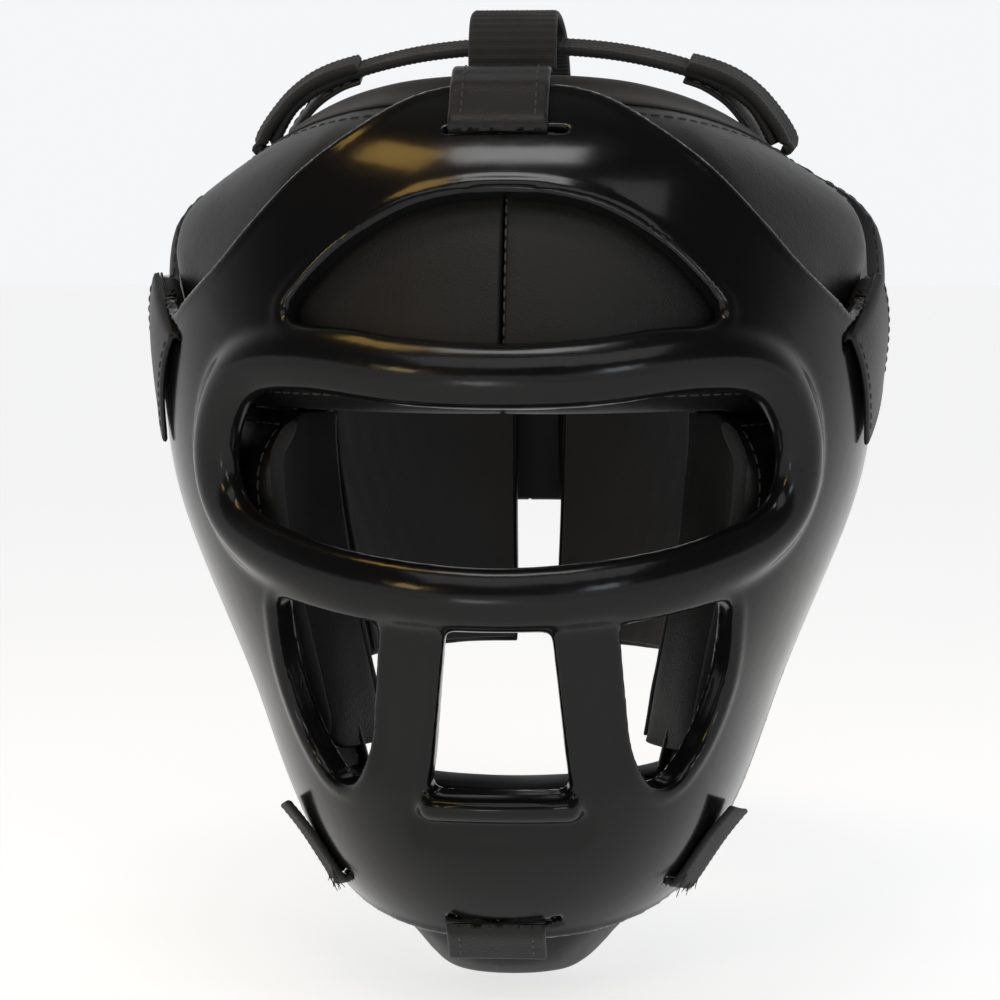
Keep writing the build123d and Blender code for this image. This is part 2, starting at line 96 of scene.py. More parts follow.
# turned-in depth of the walls around the smaller openings
BROW_WALL, VENT_WALL, MOUTH_WALL = 7.4, 8.6, 8.2
RING_HALF, RING_DEPTH, RING_SINK, RING_BLEND = 7.9, 6.4, 2.4, 5.0
RECESS = 2.4
SLOT_SHIFT, SLOT_HALF_HEIGHT, SLOT_REACH = 0.65, 1.4, 12.0
SLOTS = (
    ("top_tab_peel", 34.0), ("chin_tab_peel", 32.0), ("temple_strap_left_peel", 40.0),
    ("jaw_strap_left_peel", 28.0),
)
CORNERS = tuple(itertools.product((0, 1), repeat=3))


# ------------------------------------------------------------- small geometry
def smoothstep(t):
    t = np.clip(t, 0.0, 1.0)
    return t * t * (3.0 - 2.0 * t)


def natural_spline(xs, ys):
    """Smooth curve through the stations, as a function of numpy arrays."""
    xs = np.array(xs, float)
    ys = np.array(ys, float)
    count = len(xs)
    step = np.diff(xs)
    slope = np.diff(ys) / step
    matrix = np.eye(count)
    right = np.zeros(count)
    for i in range(1, count - 1):
        matrix[i, i - 1] = step[i - 1]
        matrix[i, i] = 2.0 * (step[i - 1] + step[i])
        matrix[i, i + 1] = step[i]
        right[i] = 6.0 * (slope[i] - slope[i - 1])
    bend = np.linalg.solve(matrix, right)

    def curve(x):
        x = np.clip(x, xs[0], xs[-1])
        i = np.clip(np.searchsorted(xs, x) - 1, 0, count - 2)
        h = step[i]
        a = (xs[i + 1] - x) / h
        b = 1.0 - a
        cubic = ((a**3 - a) * bend[i] + (b**3 - b) * bend[i + 1]) * h * h / 6.0
        return a * ys[i] + b * ys[i + 1] + cubic

    return curve


def round_loop(points, per_span=14, closed=True):
    """Smooth curve through a list of 2-D points."""
    pts = np.array(points, float)
    count = len(pts)
    spans = count if closed else count - 1
    out = []
    for i in range(spans):
        if closed:
            p0, p1, p2, p3 = (pts[(i + k) % count] for k in (-1, 0, 1, 2))
        else:
            p0, p1, p2, p3 = (pts[min(max(i + k, 0), count - 1)] for k in (-1, 0, 1, 2))
        for j in range(per_span):
            t = j / per_span
            out.append(0.5 * (2 * p1 + (p2 - p0) * t + (2 * p0 - 5 * p1 + 4 * p2 - p3) * t * t
                              + (3 * p1 - p0 - 3 * p2 + p3) * t**3))
    if not closed:
        out.append(pts[-1])
    return np.array(out)


def both_halves(half):
    """Half outline followed by its mirror image."""
    return list(half) + [(-x, z) for x, z in half[-2:0:-1]]


def soft_corners(points, sizes, closed=True):
    """Polygon whose corners are rounded by short curves of the given sizes."""
    pts = [np.array(p, float) for p in points]
    count = len(pts)
    out = []
    for i, (corner, size) in enumerate(zip(pts, sizes)):
        if not closed and i in (0, count - 1):
            out.append(corner)
            continue
        before = pts[i - 1] - corner
        after = pts[(i + 1) % count] - corner
        start = corner + before * min(size / np.linalg.norm(before), 0.48)
        end = corner + after * min(size / np.linalg.norm(after), 0.48)
        for t in np.linspace(0.0, 1.0, 9):
            out.append(start * (1 - t) ** 2 + 2 * corner * t * (1 - t) + end * t * t)
    return np.array(out)


def signed_distance(loop, points):
    """Distance of 2-D points to a closed polygon, negative inside."""
    a = np.asarray(loop, float)
    b = np.roll(a, -1, axis=0)
    best = np.full(len(points), 1e9)
    inside = np.zeros(len(points), bool)
    for p, q in zip(a, b):
        d = q - p
        w = points - p
        t = np.clip((w @ d) / max(d @ d, 1e-12), 0.0, 1.0)
        best = np.minimum(best, np.hypot(*(w - t[:, None] * d).T))
        crosses = (p[1] > points[:, 1]) != (q[1] > points[:, 1])
        if abs(q[1] - p[1]) > 1e-12:
            x = p[0] + (points[:, 1] - p[1]) * d[0] / d[1]
            inside ^= crosses & (points[:, 0] < x)
    return np.where(inside, -best, best)


half_width = natural_spline([s[0] for s in GRILL_STATIONS], [s[1] for s in GRILL_STATIONS])
reach = natural_spline([s[0] for s in GRILL_STATIONS], [s[2] for s in GRILL_STATIONS])


def shell_level(p):
    """Value that is 1 on the grill's outer surface."""
    u = np.abs(p[:, 0]) / half_width(p[:, 2])
    v = np.maximum(GRILL_CENTRE_Y - p[:, 1], 0.0) / (reach(p[:, 2]) + GRILL_CENTRE_Y)
    return (u**GRILL_POWER + v**GRILL_POWER + 1e-9) ** (1.0 / GRILL_POWER)


def shell_distance(p):
    """Distance of points to the grill's outer surface, positive outside, and the outward normals."""
    eps = 0.2
    grad = np.empty_like(p)
    for axis in range(3):
        step = np.zeros(3)
        step[axis] = eps
        grad[:, axis] = (shell_level(p + step) - shell_level(p - step)) / (2 * eps)
    length = np.maximum(np.linalg.norm(grad, axis=1), 1e-6)
    return (shell_level(p) - 1.0) / length, grad / length[:, None]


def onto_shell(points, height):
    """Points moved to a height over the grill's outer surface, with normals."""
    p = np.array(points, float)
    for _ in range(5):
        distance, normal = shell_distance(p)
        p = p - normal * distance[:, None]
    _, normal = shell_distance(p)
    return p + normal * np.asarray(height, float).reshape(-1, 1), normal


# ------------------------------------------------------------------ mesh tools
def new_object(name, vertices, faces, smooth=True):
    """Mesh object from points in millimetres."""
    mesh = bpy.data.meshes.new(name)
    mesh.from_pydata([tuple(v) for v in np.asarray(vertices) * MM], [], [tuple(f) for f in faces])
    mesh.validate()
    mesh.update()
    obj = bpy.data.objects.new(name, mesh)
    bpy.context.scene.collection.objects.link(obj)
    if smooth:
        mesh.shade_smooth()
    return obj


def surface_net(field, origin, step):
    """Quad mesh of field = 0, with vertices pulled onto the surface."""
    inside = field < 0
    corner_sum = np.zeros(tuple(n - 1 for n in field.shape), np.int16)
    for dx, dy, dz in CORNERS:
        corner_sum += inside[dx:field.shape[0] - 1 + dx, dy:field.shape[1] - 1 + dy,
                             dz:field.shape[2] - 1 + dz]
    active = (corner_sum > 0) & (corner_sum < 8)
    cells = np.argwhere(active)
    index = np.full(active.shape, -1, np.int64)
    index[active] = np.arange(len(cells))
    total = np.zeros((len(cells), 3))
    count = np.zeros(len(cells))
    for axis in range(3):
        others = [k for k in range(3) if k != axis]
        for a, b in itertools.product((0, 1), repeat=2):
            start = np.zeros(3, int)
            start[others[0]] = a
            start[others[1]] = b
            end = start.copy()
            end[axis] = 1
            f0 = field[tuple((cells + start).T)]
            f1 = field[tuple((cells + end).T)]
            hit = (f0 < 0) != (f1 < 0)
            t = np.where(hit, f0 / np.where(hit, f0 - f1, 1.0), 0.0)
            point = np.tile(start.astype(float), (len(cells), 1))
            point[:, axis] += t
            total += point * hit[:, None]
            count += hit
    vertices = cells + total / count[:, None]
    faces = []
    for axis in range(3):
        o1, o2 = [k for k in range(3) if k != axis]
        shift = [slice(None)] * 3
        lower = [slice(None)] * 3
        lower[axis] = slice(0, -1)
        shift[axis] = slice(1, None)
        change = inside[tuple(lower)] != inside[tuple(shift)]
        edges = np.argwhere(change)
        keep = (edges[:, o1] > 0) & (edges[:, o2] > 0)
        keep &= (edges[:, o1] < field.shape[o1] - 1) & (edges[:, o2] < field.shape[o2] - 1)
        edges = edges[keep]
        u = np.zeros(3, int)
        v = np.zeros(3, int)
        u[o1] = 1
        v[o2] = 1
        quad = [index[tuple((edges - d).T)] for d in (0 * u, u, u + v, v)]
        flip = inside[tuple(edges.T)]
        if axis == 1:
            flip = ~flip
        quad = np.array(quad).T
        quad[~flip] = quad[~flip][:, ::-1]
        faces.append(quad)
    return np.asarray(origin) + pull_onto_surface(field, vertices) * step, np.concatenate(faces)


def pull_onto_surface(field, vertices):
    """Vertices in grid units moved onto field = 0, at most 0.4 of a cell in each of two passes."""
    for _ in range(2):
        base = np.clip(np.floor(vertices).astype(int), 0, np.array(field.shape) - 2)
        frac = vertices - base
        value = np.zeros(len(vertices))
        grad = np.zeros((len(vertices), 3))
        for dx, dy, dz in CORNERS:
            f = field[base[:, 0] + dx, base[:, 1] + dy, base[:, 2] + dz]
            wx = frac[:, 0] if dx else 1 - frac[:, 0]
            wy = frac[:, 1] if dy else 1 - frac[:, 1]
            wz = frac[:, 2] if dz else 1 - frac[:, 2]
            value += f * wx * wy * wz
            grad[:, 0] += f * (1 if dx else -1) * wy * wz
            grad[:, 1] += f * wx * (1 if dy else -1) * wz
            grad[:, 2] += f * wx * wy * (1 if dz else -1)
        size = np.maximum((grad**2).sum(axis=1), 0.05)
        move = -grad * (value / size)[:, None]
        vertices = vertices + np.clip(move, -0.4, 0.4)
    return vertices


# ------------------------------------------------------------------- the grill
def rounded_box(px, py, radius):
    """Signed distance of a rounded corner between two half spaces."""
    out = np.hypot(np.maximum(px + radius, 0.0), np.maximum(py + radius, 0.0))
    return out + np.minimum(np.maximum(px + radius, py + radius), 0.0) - radius


def blend_union(a, b, reach_mm):
    """Union of two fields with a fillet."""
    h = np.clip(0.5 + 0.5 * (b - a) / reach_mm, 0.0, 1.0)
    return b + (a - b) * h - reach_mm * h * (1.0 - h)


def strap_frame(joint_name):
    """Slot place in mm, run, width and outward directions of a strap from its peel joint."""
    joint = JOINTS[joint_name]
    width = np.array(joint["axis"], float)
    on, normal = onto_shell([np.array(joint["pos_m"], float) / MM], 0.0)
    normal = normal[0]
    width = width - normal * (width @ normal)
    width /= np.linalg.norm(width)
    run = np.cross(normal, width)
    return on[0], run, width, normal


def front_outline():
    """Closed front outline of the grill: arched top, lugs, straight sides, curved foot."""
    arch = list(round_loop(ARCH, 10, closed=False))
    lug = list(soft_corners([ARCH[-1], *LUG, FOOT[0]], (0.0, *LUG_CORNERS, 0.0), closed=False))
    return both_halves(arch + lug[1:-1] + list(round_loop(FOOT, 8, closed=False)))


def grill_field():
    """Signed distance field of the moulding on a grid, and the place of the grid's first corner."""
    xs, ys, zs = (np.arange(*span, GRID) for span in (SAMPLED_X, SAMPLED_Y, SAMPLED_Z))
    gx, gz = np.meshgrid(xs, zs, indexing="ij")
    flat = np.stack((gx.ravel(), gz.ravel()), axis=1)

    def plane_distance(loop):
        value = signed_distance(loop, flat).reshape(gx.shape)
        slope_x, slope_z = np.gradient(value, GRID)
        return value, slope_x, slope_z

    outer = plane_distance(front_outline())
    eye = plane_distance(round_loop(both_halves(EYE_OPENING)))
    brow = plane_distance(round_loop(both_halves(FOREHEAD_OPENING)))
    vent = plane_distance(soft_corners(SIDE_VENT, VENT_CORNERS))
    mouth = plane_distance(soft_corners(MOUTH_GAP, [MOUTH_GAP_CORNER] * 4))

    gy, gz2 = np.meshgrid(ys, zs, indexing="ij")
    rear = list(round_loop(GRILL_REAR, 8, closed=False)) + [(-300.0, 272.0), (-300.0, -20.0)]
    side = signed_distance(rear, np.stack((gy.ravel(), gz2.ravel()), axis=1)).reshape(gy.shape)
    side = (side, *np.gradient(side, GRID))

    grid = np.stack(np.meshgrid(xs, ys, zs, indexing="ij"), axis=-1).reshape(-1, 3)
    level = shell_level(grid)
    band = np.abs(level - 1.0) * SHELL_SIZE < SAMPLED_DEPTH
    points = grid[band]
    a, normal = shell_distance(points)
    feet = points - normal * a[:, None]

    def sample(table, first, second, start):
        """Value of a table on the 2-D grid at any place."""
        u = np.clip((first - start[0]) / GRID, 0.0, table.shape[0] - 1.001)
        v = np.clip((second - start[1]) / GRID, 0.0, table.shape[1] - 1.001)
        i, j = u.astype(int), v.astype(int)
        u, v = u - i, v - j
        low = table[i, j] * (1 - v) + table[i, j + 1] * v
        high = table[i + 1, j] * (1 - v) + table[i + 1, j + 1] * v
        return low * (1 - u) + high * u

    def along_surface(tables, front=True):
        """Distance to an edge measured along the curved wall."""
        axis, start = (0, xs[0]) if front else (1, ys[0])
        value, slope_a, slope_z = (sample(t, feet[:, axis], feet[:, 2], (start, zs[0])) for t in tables)
        facing = np.minimum(normal[:, 1], -0.25) if front else np.maximum(normal[:, 0], 0.25)
        lean = (slope_a * normal[:, axis] + slope_z * normal[:, 2]) / facing
        return value * np.sqrt(1.0 + np.minimum(lean**2, 9.0))

    m_outer, m_eye, m_brow, m_vent, m_mouth = (
        along_surface(tables) for tables in (outer, eye, brow, vent, mouth)
    )
    m_side = along_surface(side, front=False)

    # the bars beside the mouth gap and the sill under it lie a little behind the shell
    x, z = points[:, 0], points[:, 2]
    bars = smoothstep((z - 56.0) / 16.0) * smoothstep((112.0 - z) / 8.0) * smoothstep((40.0 - x) / 8.0)
    sill = smoothstep((z - 39.0) / 9.0) * smoothstep((26.5 - x) / 5.0) * smoothstep((54.0 - z) / 4.0)
    b = a + RECESS * bars + RECESS * sill
    edge = np.maximum.reduce((m_outer, m_side, -m_eye, -m_brow, -m_vent, -m_mouth))
    field = rounded_box(np.abs(b + WALL / 2) - WALL / 2, edge, 2.0)

    def turned_in(m, depth):
        """Wall turned in around an opening."""
        return rounded_box(np.abs(m - 2.1) - 2.1, np.abs(b + depth / 2) - depth / 2, 1.7)

    for m, depth in ((m_brow, BROW_WALL), (m_vent, VENT_WALL), (m_mouth, MOUTH_WALL)):
        field = blend_union(field, turned_in(m, depth), 1.6)
    rim = rounded_box(np.abs(np.maximum(m_outer, m_side) + 1.6) - 1.6, np.abs(a + 2.6) - 2.6, 1.5)
    field = blend_union(field, rim, 1.4)
    ring = (np.hypot((m_eye - RING_HALF) / RING_HALF, (a + RING_SINK) / RING_DEPTH) - 1.0) * RING_DEPTH
    field = blend_union(field, ring, RING_BLEND)
    # rounded lip along the sill under the mouth gap
    roll = np.sqrt(np.maximum(x - 19.5, 0.0) ** 2 + (z - 52.6) ** 2 + (a - 0.2) ** 2) - 3.5
    field = blend_union(field, roll, 2.5)

    for name, width in SLOTS:
        spot, run, across, out = strap_frame(name)
        local = points - spot - run * SLOT_SHIFT
        cut = np.maximum.reduce((
            np.abs(local @ run) - SLOT_HALF_HEIGHT, np.abs(local @ across) - width / 2,
            np.abs(local @ out + 2.0) - SLOT_REACH,
        ))
        field = np.maximum(field, -cut)
        field = np.maximum(field, rounded_box(-cut, -np.abs(b) - 50.0, 0.8))

    full = np.full(len(grid), OUTSIDE)
    full[band] = field
    full = full.reshape(len(xs), len(ys), len(zs))
    full = np.concatenate((full[:0:-1], full), axis=0)
    return full, (-xs[-1], ys[0], zs[0])


def build_grill():
    """The moulded grill as one mesh; the field of its left half is mirrored."""
    field, origin = grill_field()
    vertices, faces = surface_net(field, origin, GRID)
    grill = new_object("face_grill_moulding", vertices, faces)
    attach(grill, "grill", "grill_plastic", "face_grill")


# ------------------------------------------------------- the padding's surface
HEAD_HALF_WIDTH = 78.0
HEAD_HALF_DEPTH = 97.0
HEAD_TOP = 265.0
WIDEST_LEVEL = 175.0
FRONT_THICKNESS = 32.0
REAR_THICKNESS = 24.0
STANDOFF = 3.4
RIM_FRONT, RIM_SIDE, RIM_REAR, RIM_TURN = 258.5, 240.0, 222.0, 75.0
FOREHEAD_EDGE, FOREHEAD_BOTTOM = 82.0, 163.0
CHEEK_INNER_EDGE, SIDE_REAR_EDGE, REAR_INNER_EDGE = 34.5, 125.0, 175.5
REAR_BOTTOM, CHIN_EDGE, CHIN_TOP = 72.0, 50.0, 53.0
CHIN_SAG, CHIN_FLAT = 8.0, 13.0
TEMPLE_SWELL = 5.0
CHIN_LINK_ANGLE, CHIN_LINK_TOP, CHIN_LINK_BOTTOM = 43.0, 90.0, 30.0
SEAM = 0.45
EAR_ANGLE, EAR_LEVEL, EAR_WIDTH, EAR_HEIGHT = 100.0, 148.0, 26.0, 40.0
REAR_STRAP_BOTTOM, REAR_STRAP_TOP = 118.0, 172.0
LINING_GAP = 1.4
COVER_ALLOWANCE = 0.5
# angles in degrees over which the padding comes out from behind the grill
CLEAR_START, CLEAR_SPAN = 75.5, 12.5
EDGE_GAP = 1.5
THICKER_SIDE = 4.0
LEAST_SWELL, SWELL_CAP, STRAP_CAP = 1.6, 5.0, 0.8
SIM_FRAMES = 20
MIDDLE_SEAM = 0.12


def head_axes(z):
    """Half width and half depth of the head space at a level."""
    z = np.asarray(z, float)
    rise = np.clip((z - WIDEST_LEVEL) / (HEAD_TOP - WIDEST_LEVEL), 0.0, 0.97)
    share = (1.0 - rise**2.5) ** 0.4
    jaw = smoothstep((z - 20.0) / 140.0)
    chin = 1.0 - 0.22 * smoothstep(1.0 - z / 30.0)
    high = z >= WIDEST_LEVEL
    width = np.where(high, share, (0.66 + 0.34 * jaw) * chin)
    depth = np.where(high, share, (0.70 + 0.30 * jaw) * chin)
    return HEAD_HALF_WIDTH * width, HEAD_HALF_DEPTH * depth


def head_radius(phi, z):
    """Distance from the upright axis to the head space at an angle and a level."""
    width, depth = head_axes(z)
    return ((np.sin(phi) / width) ** 2 + (np.cos(phi) / depth) ** 2) ** -0.5


def place(radius, phi, z):
    """Points at distances from the upright axis, at angles from the front and levels."""
    phi, z = np.broadcast_arrays(phi, z)
    return np.stack((radius * np.sin(phi), -radius * np.cos(phi), z), axis=-1)


def grill_radius(phi, z, grow):
    """Distance from the upright axis to the grill's surface, grown by grow."""
    width = half_width(z) + grow
    depth = reach(z) + grow + GRILL_CENTRE_Y
    near = np.full(np.broadcast(phi, z).shape, 10.0)
    far = near + 210.0
    for _ in range(30):
        middle = 0.5 * (near + far)
        u = np.abs(middle * np.sin(phi)) / width
        v = np.maximum(0.0, (middle * np.cos(phi) + GRILL_CENTRE_Y) / depth)
        outside = u**GRILL_POWER + v**GRILL_POWER > 1.0
        near = np.where(outside, near, middle)
        far = np.where(outside, middle, far)
    return near


def rim_level(phi):
    """Level of the padding's top rim."""
    angle = np.abs(np.degrees(phi))
    front = RIM_SIDE + (RIM_FRONT - RIM_SIDE) * (1.0 - np.minimum(angle / RIM_TURN, 1.0) ** 2.5)
    back = RIM_SIDE - (RIM_SIDE - RIM_REAR) * smoothstep((angle - RIM_TURN) / (180.0 - RIM_TURN))
    return np.where(angle < RIM_TURN, front, back)


def side_bottom(phi):
    """Lower edge of the cheek and ear panels."""
    return 60.0 + 16.0 * smoothstep((np.abs(np.degrees(phi)) - 50.0) / (SIDE_REAR_EDGE - 50.0))


def chin_bottom(phi):
    """Lower edge of the chin panel, flat in the middle."""
    return 20.0 * smoothstep((np.abs(np.degrees(phi)) - CHIN_FLAT) / (CHIN_EDGE - CHIN_FLAT)) - CHIN_SAG


def guard_radius(phi, z):
    """Distance from the upright axis to the padding's surface, before its panels are rounded."""
    inner = head_radius(phi, z)
    angle = np.abs(np.degrees(phi))
    bare = smoothstep((angle - CLEAR_START) / CLEAR_SPAN)
    behind = grill_radius(phi, z, -(WALL + STANDOFF))
    front = np.minimum(behind * (1 - bare) + grill_radius(phi, z, -EDGE_GAP) * bare,
                       inner + FRONT_THICKNESS + THICKER_SIDE * bare)
    side = np.minimum(half_width(z) - EDGE_GAP - head_axes(z)[0], FRONT_THICKNESS + THICKER_SIDE)
    back = inner + side + (REAR_THICKNESS - side) * smoothstep((angle - 90.0) / 50.0)
    return np.where(angle <= 90.0, front, back)


def panel(start, end, bottom, top):
    """A panel between two angles in degrees; its edges are levels or functions of the angle."""
    low = bottom if callable(bottom) else (lambda phi: 0.0 * phi + bottom)
    high = top if callable(top) else (lambda phi: 0.0 * phi + top)
    return {"start": math.radians(start), "end": math.radians(end), "bottom": low, "top": high}


def rounding(distance, span, share):
    """Share of the thickness lost at a distance from an edge."""
    return share * np.maximum(0.0, 1.0 - np.maximum(distance, 0.0) / span) ** 3


def panel_surface(piece, phi, z):
    """Crowned outer surface of a panel, drawn in by its seams."""
    inner = head_radius(phi, z)
    full = guard_radius(phi, z)
    arc = full * np.minimum(phi - piece["start"], piece["end"] - phi)
    top_share = 0.30 + 0.32 * smoothstep(np.abs(np.degrees(phi)) / 60.0)
    bottom_share = 0.35 if piece["top"](0.0) > CHIN_TOP else 0.16
    lost = rounding(piece["top"](phi) - z, 33.0, top_share)
    lost = np.maximum(lost, rounding(z - piece["bottom"](phi), 16.0, bottom_share))
    lost = np.maximum(lost, rounding(arc, 12.0, 0.22))
    return full - lost * (full - inner)


PANELS = {
    "forehead": panel(-FOREHEAD_EDGE, FOREHEAD_EDGE, FOREHEAD_BOTTOM, rim_level),
    "chin": panel(-CHIN_EDGE, CHIN_EDGE, chin_bottom, CHIN_TOP),
    "cheek": panel(CHEEK_INNER_EDGE, FOREHEAD_EDGE, side_bottom, FOREHEAD_BOTTOM - 1.0),
    "ear": panel(FOREHEAD_EDGE + SEAM, SIDE_REAR_EDGE - SEAM, side_bottom, rim_level),
    "rear": panel(SIDE_REAR_EDGE + SEAM, REAR_INNER_EDGE, REAR_BOTTOM, rim_level),
}


# ------------------------------------------------------------------- materials
class NodeGraph:
    """Adds nodes to the tree of a material or world; each method returns the new node's output."""

    def __init__(self, tree, coordinates):
        self.nodes = tree.nodes
        self.links = tree.links
        self.vector = self.nodes.new("ShaderNodeTexCoord").outputs[coordinates]

    def noise(self, scale, detail=2.0, roughness=0.5):
        node = self.nodes.new("ShaderNodeTexNoise")
        node.inputs["Scale"].default_value = scale
        node.inputs["Detail"].default_value = detail
        node.inputs["Roughness"].default_value = roughness
        self.links.new(self.vector, node.inputs["Vector"])
        return node.outputs["Fac"]

    def grains(self, scale):
        """Pebbled grain: cells with soft valleys."""
        node = self.nodes.new("ShaderNodeTexVoronoi")
        node.feature = "SMOOTH_F1"
        node.inputs["Scale"].default_value = scale
        node.inputs["Smoothness"].default_value = 0.6
        self.links.new(self.vector, node.inputs["Vector"])
        return node.outputs["Distance"]

    def wave(self, direction, scale):
        node = self.nodes.new("ShaderNodeTexWave")
        node.bands_direction = direction
        node.inputs["Scale"].default_value = scale
        node.inputs["Distortion"].default_value = 0.6
        node.inputs["Detail"].default_value = 1.0
        self.links.new(self.vector, node.inputs["Vector"])
        return node.outputs["Fac"]

    def ramp(self, value, low, high, out_low, out_high, soft=False):
        """Range from low to high mapped to out_low and out_high, and held there outside it."""
        node = self.nodes.new("ShaderNodeMapRange")
        if soft:
            node.interpolation_type = "SMOOTHSTEP"
        numbers = {"From Min": low, "From Max": high, "To Min": out_low, "To Max": out_high}
        for socket, number in numbers.items():
            node.inputs[socket].default_value = number
        self.links.new(value, node.inputs["Value"])
        return node.outputs["Result"]

    def tint(self, value, dark, light):
        """Mix of two colours."""
        node = self.nodes.new("ShaderNodeMix")
        node.data_type = "RGBA"
        node.inputs["A"].default_value = (*dark, 1.0)
        node.inputs["B"].default_value = (*light, 1.0)
        self.links.new(value, node.inputs["Factor"])
        return node.outputs["Result"]

    def math(self, operation, first, second):
        """Two outputs joined by a math node."""
        node = self.nodes.new("ShaderNodeMath")
        node.operation = operation
        self.links.new(first, node.inputs[0])
        self.links.new(second, node.inputs[1])
        return node.outputs["Value"]

    def bump(self, height, distance, strength, after=None):
        node = self.nodes.new("ShaderNodeBump")
        node.inputs["Strength"].default_value = strength
        node.inputs["Distance"].default_value = distance
        self.links.new(height, node.inputs["Height"])
        if after is not None:
            self.links.new(after, node.inputs["Normal"])
        return node.outputs["Normal"]


def material(name, color, roughness, build=None, **sockets):
    """Principled material; sockets are set on the shader, build gives its textured inputs."""
    mat = bpy.data.materials.new(name)
    mat.use_nodes = True
    shader = mat.node_tree.nodes["Principled BSDF"]
    shader.inputs["Base Color"].default_value = (*color, 1.0)
    shader.inputs["Roughness"].default_value = roughness
    for socket, value in sockets.items():
        shader.inputs[socket.replace("_", " ")].default_value = value
    if build:
        graph = NodeGraph(mat.node_tree, "Object")
        base_color, rough, normal = build(graph)
        graph.links.new(base_color, shader.inputs["Base Color"])
        graph.links.new(rough, shader.inputs["Roughness"])
        graph.links.new(normal, shader.inputs["Normal"])
    return mat


def moulded_plastic(graph):
    """Gloss black moulding: faint orange peel and handling haze."""
    haze = graph.noise(22.0, 4.0, 0.6)
    peel = graph.bump(graph.noise(170.0, 1.0), 0.00022, 0.25)
    fine = graph.bump(graph.noise(2600.0), 0.00003, 0.25, peel)
    color = graph.tint(haze, (0.0038, 0.0038, 0.0042), (0.0062, 0.0060, 0.0062))
    return color, graph.ramp(haze, 0.35, 0.75, 0.15, 0.25), fine


def coated_leather(grain, depth, dark, light, rough, crease):
    """Coated leather of a given grain: pebbles, soft creases and uneven shine."""
    def build(graph):
        patches = graph.noise(38.0, 4.0, 0.62)
        creases = graph.bump(graph.noise(75.0, 5.0, 0.6), 0.0011, crease)
        cells = graph.bump(graph.grains(grain), depth, 0.55, creases)
        fine = graph.bump(graph.noise(3200.0), 0.00005, 0.4, cells)
        return graph.tint(patches, dark, light), graph.ramp(patches, 0.3, 0.75, *rough), fine
    return build


def woven(scale, depth, dark, light):
    """Fine over-and-under weave with a little fuzz."""
    def build(graph):
        cross = graph.math("MULTIPLY", graph.wave("X", scale), graph.wave("Z", scale))
        patches = graph.noise(90.0, 3.0)
        threads = graph.bump(cross, depth, 0.7)
        fuzz = graph.bump(graph.noise(2400.0, 3.0), 0.00012, 0.6, threads)
        return graph.tint(patches, dark, light), graph.ramp(patches, 0.3, 0.7, 0.72, 0.9), fuzz
    return build


def brushed(graph):
    """Brushed lining or loop pile."""
    patches = graph.noise(60.0, 4.0, 0.6)
    nap = graph.bump(graph.noise(1500.0, 4.0, 0.7), 0.0004, 0.7)
    color = graph.tint(patches, (0.014, 0.014, 0.015), (0.026, 0.026, 0.028))
    return color, graph.ramp(patches, 0.3, 0.7, 0.8, 0.95), nap


PLASTIC = material("grill_plastic_finish", (0.006, 0.006, 0.0065), 0.18, moulded_plastic,
                   Coat_Weight=0.17, Coat_Roughness=0.1, IOR=1.25)
PAD_GRAIN = coated_leather(1700.0, 0.00013, (0.0060, 0.0059, 0.0058), (0.0110, 0.0106, 0.0102),
                           (0.40, 0.50), 0.2)
LEATHER = material("pu_leather_finish", (0.02, 0.02, 0.02), 0.42, PAD_GRAIN, IOR=1.32)
STRAP_GRAIN = coated_leather(1500.0, 0.00014, (0.0070, 0.0070, 0.0072), (0.0130, 0.0128, 0.0126),
                             (0.38, 0.48), 0.1)
STRAP_LEATHER = material("strap_leather_finish", (0.02, 0.02, 0.02), 0.4, STRAP_GRAIN, IOR=1.32)
BINDING = material("binding_finish", (0.014, 0.014, 0.015), 0.75,
                   woven(900.0, 0.00018, (0.008, 0.008, 0.0085), (0.015, 0.015, 0.016)), Sheen_Weight=0.08)
WEBBING_CLOTH = material("webbing_finish", (0.010, 0.010, 0.011), 0.8,
                         woven(700.0, 0.0003, (0.005, 0.005, 0.0055), (0.012, 0.012, 0.013)),
                         Sheen_Weight=0.05)
LINING_CLOTH = material("lining_finish", (0.02, 0.02, 0.021), 0.9, brushed, Sheen_Weight=0.25)
PILE = material("hook_and_loop_finish", (0.012, 0.012, 0.013), 0.95, brushed, Sheen_Weight=0.4)
THREAD = material("thread_finish", (0.03, 0.03, 0.031), 0.55,
                  woven(2600.0, 0.00006, (0.020, 0.020, 0.021), (0.042, 0.042, 0.043)), Sheen_Weight=0.1)
LABEL_CLOTH = material("label_finish", (0.012, 0.012, 0.013), 0.7,
                       woven(1500.0, 0.00015, (0.008, 0.008, 0.009), (0.014, 0.014, 0.015)))
LABEL_LINE = material("label_line_finish", (0.6, 0.6, 0.6), 0.6,
                      woven(1500.0, 0.00015, (0.50, 0.50, 0.50), (0.68, 0.68, 0.67)))
FINISHES = {
    "grill_plastic": PLASTIC, "pu_leather": LEATHER, "strap_leather": STRAP_LEATHER, "binding": BINDING,
    "webbing": WEBBING_CLOTH, "lining": LINING_CLOTH, "hook_and_loop": PILE, "label": LABEL_CLOTH,
}


def attach(obj, body, slot, *nodes, finish=None):
    """Put a piece on its body, give it its slot's material or the given finish, and hide the CAD nodes it
    stands for.
    """
    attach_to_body(obj, body)
    obj.data.materials.append(finish or FINISHES[slot])
    if nodes:
        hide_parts(*nodes)
    return obj


# ------------------------------------------------------------- pads and lining
def spread(length, step, tight=()):
    """Even stations from 0 to 1 with extra ones close to each end."""
    count = max(4, int(round(length / step)))
    stations = set(np.round(np.linspace(0.0, 1.0, count + 1), 6))
    for mm in tight:
        stations.add(round(mm / length, 6))
        stations.add(round(1.0 - mm / length, 6))
    return np.array(sorted(stations))


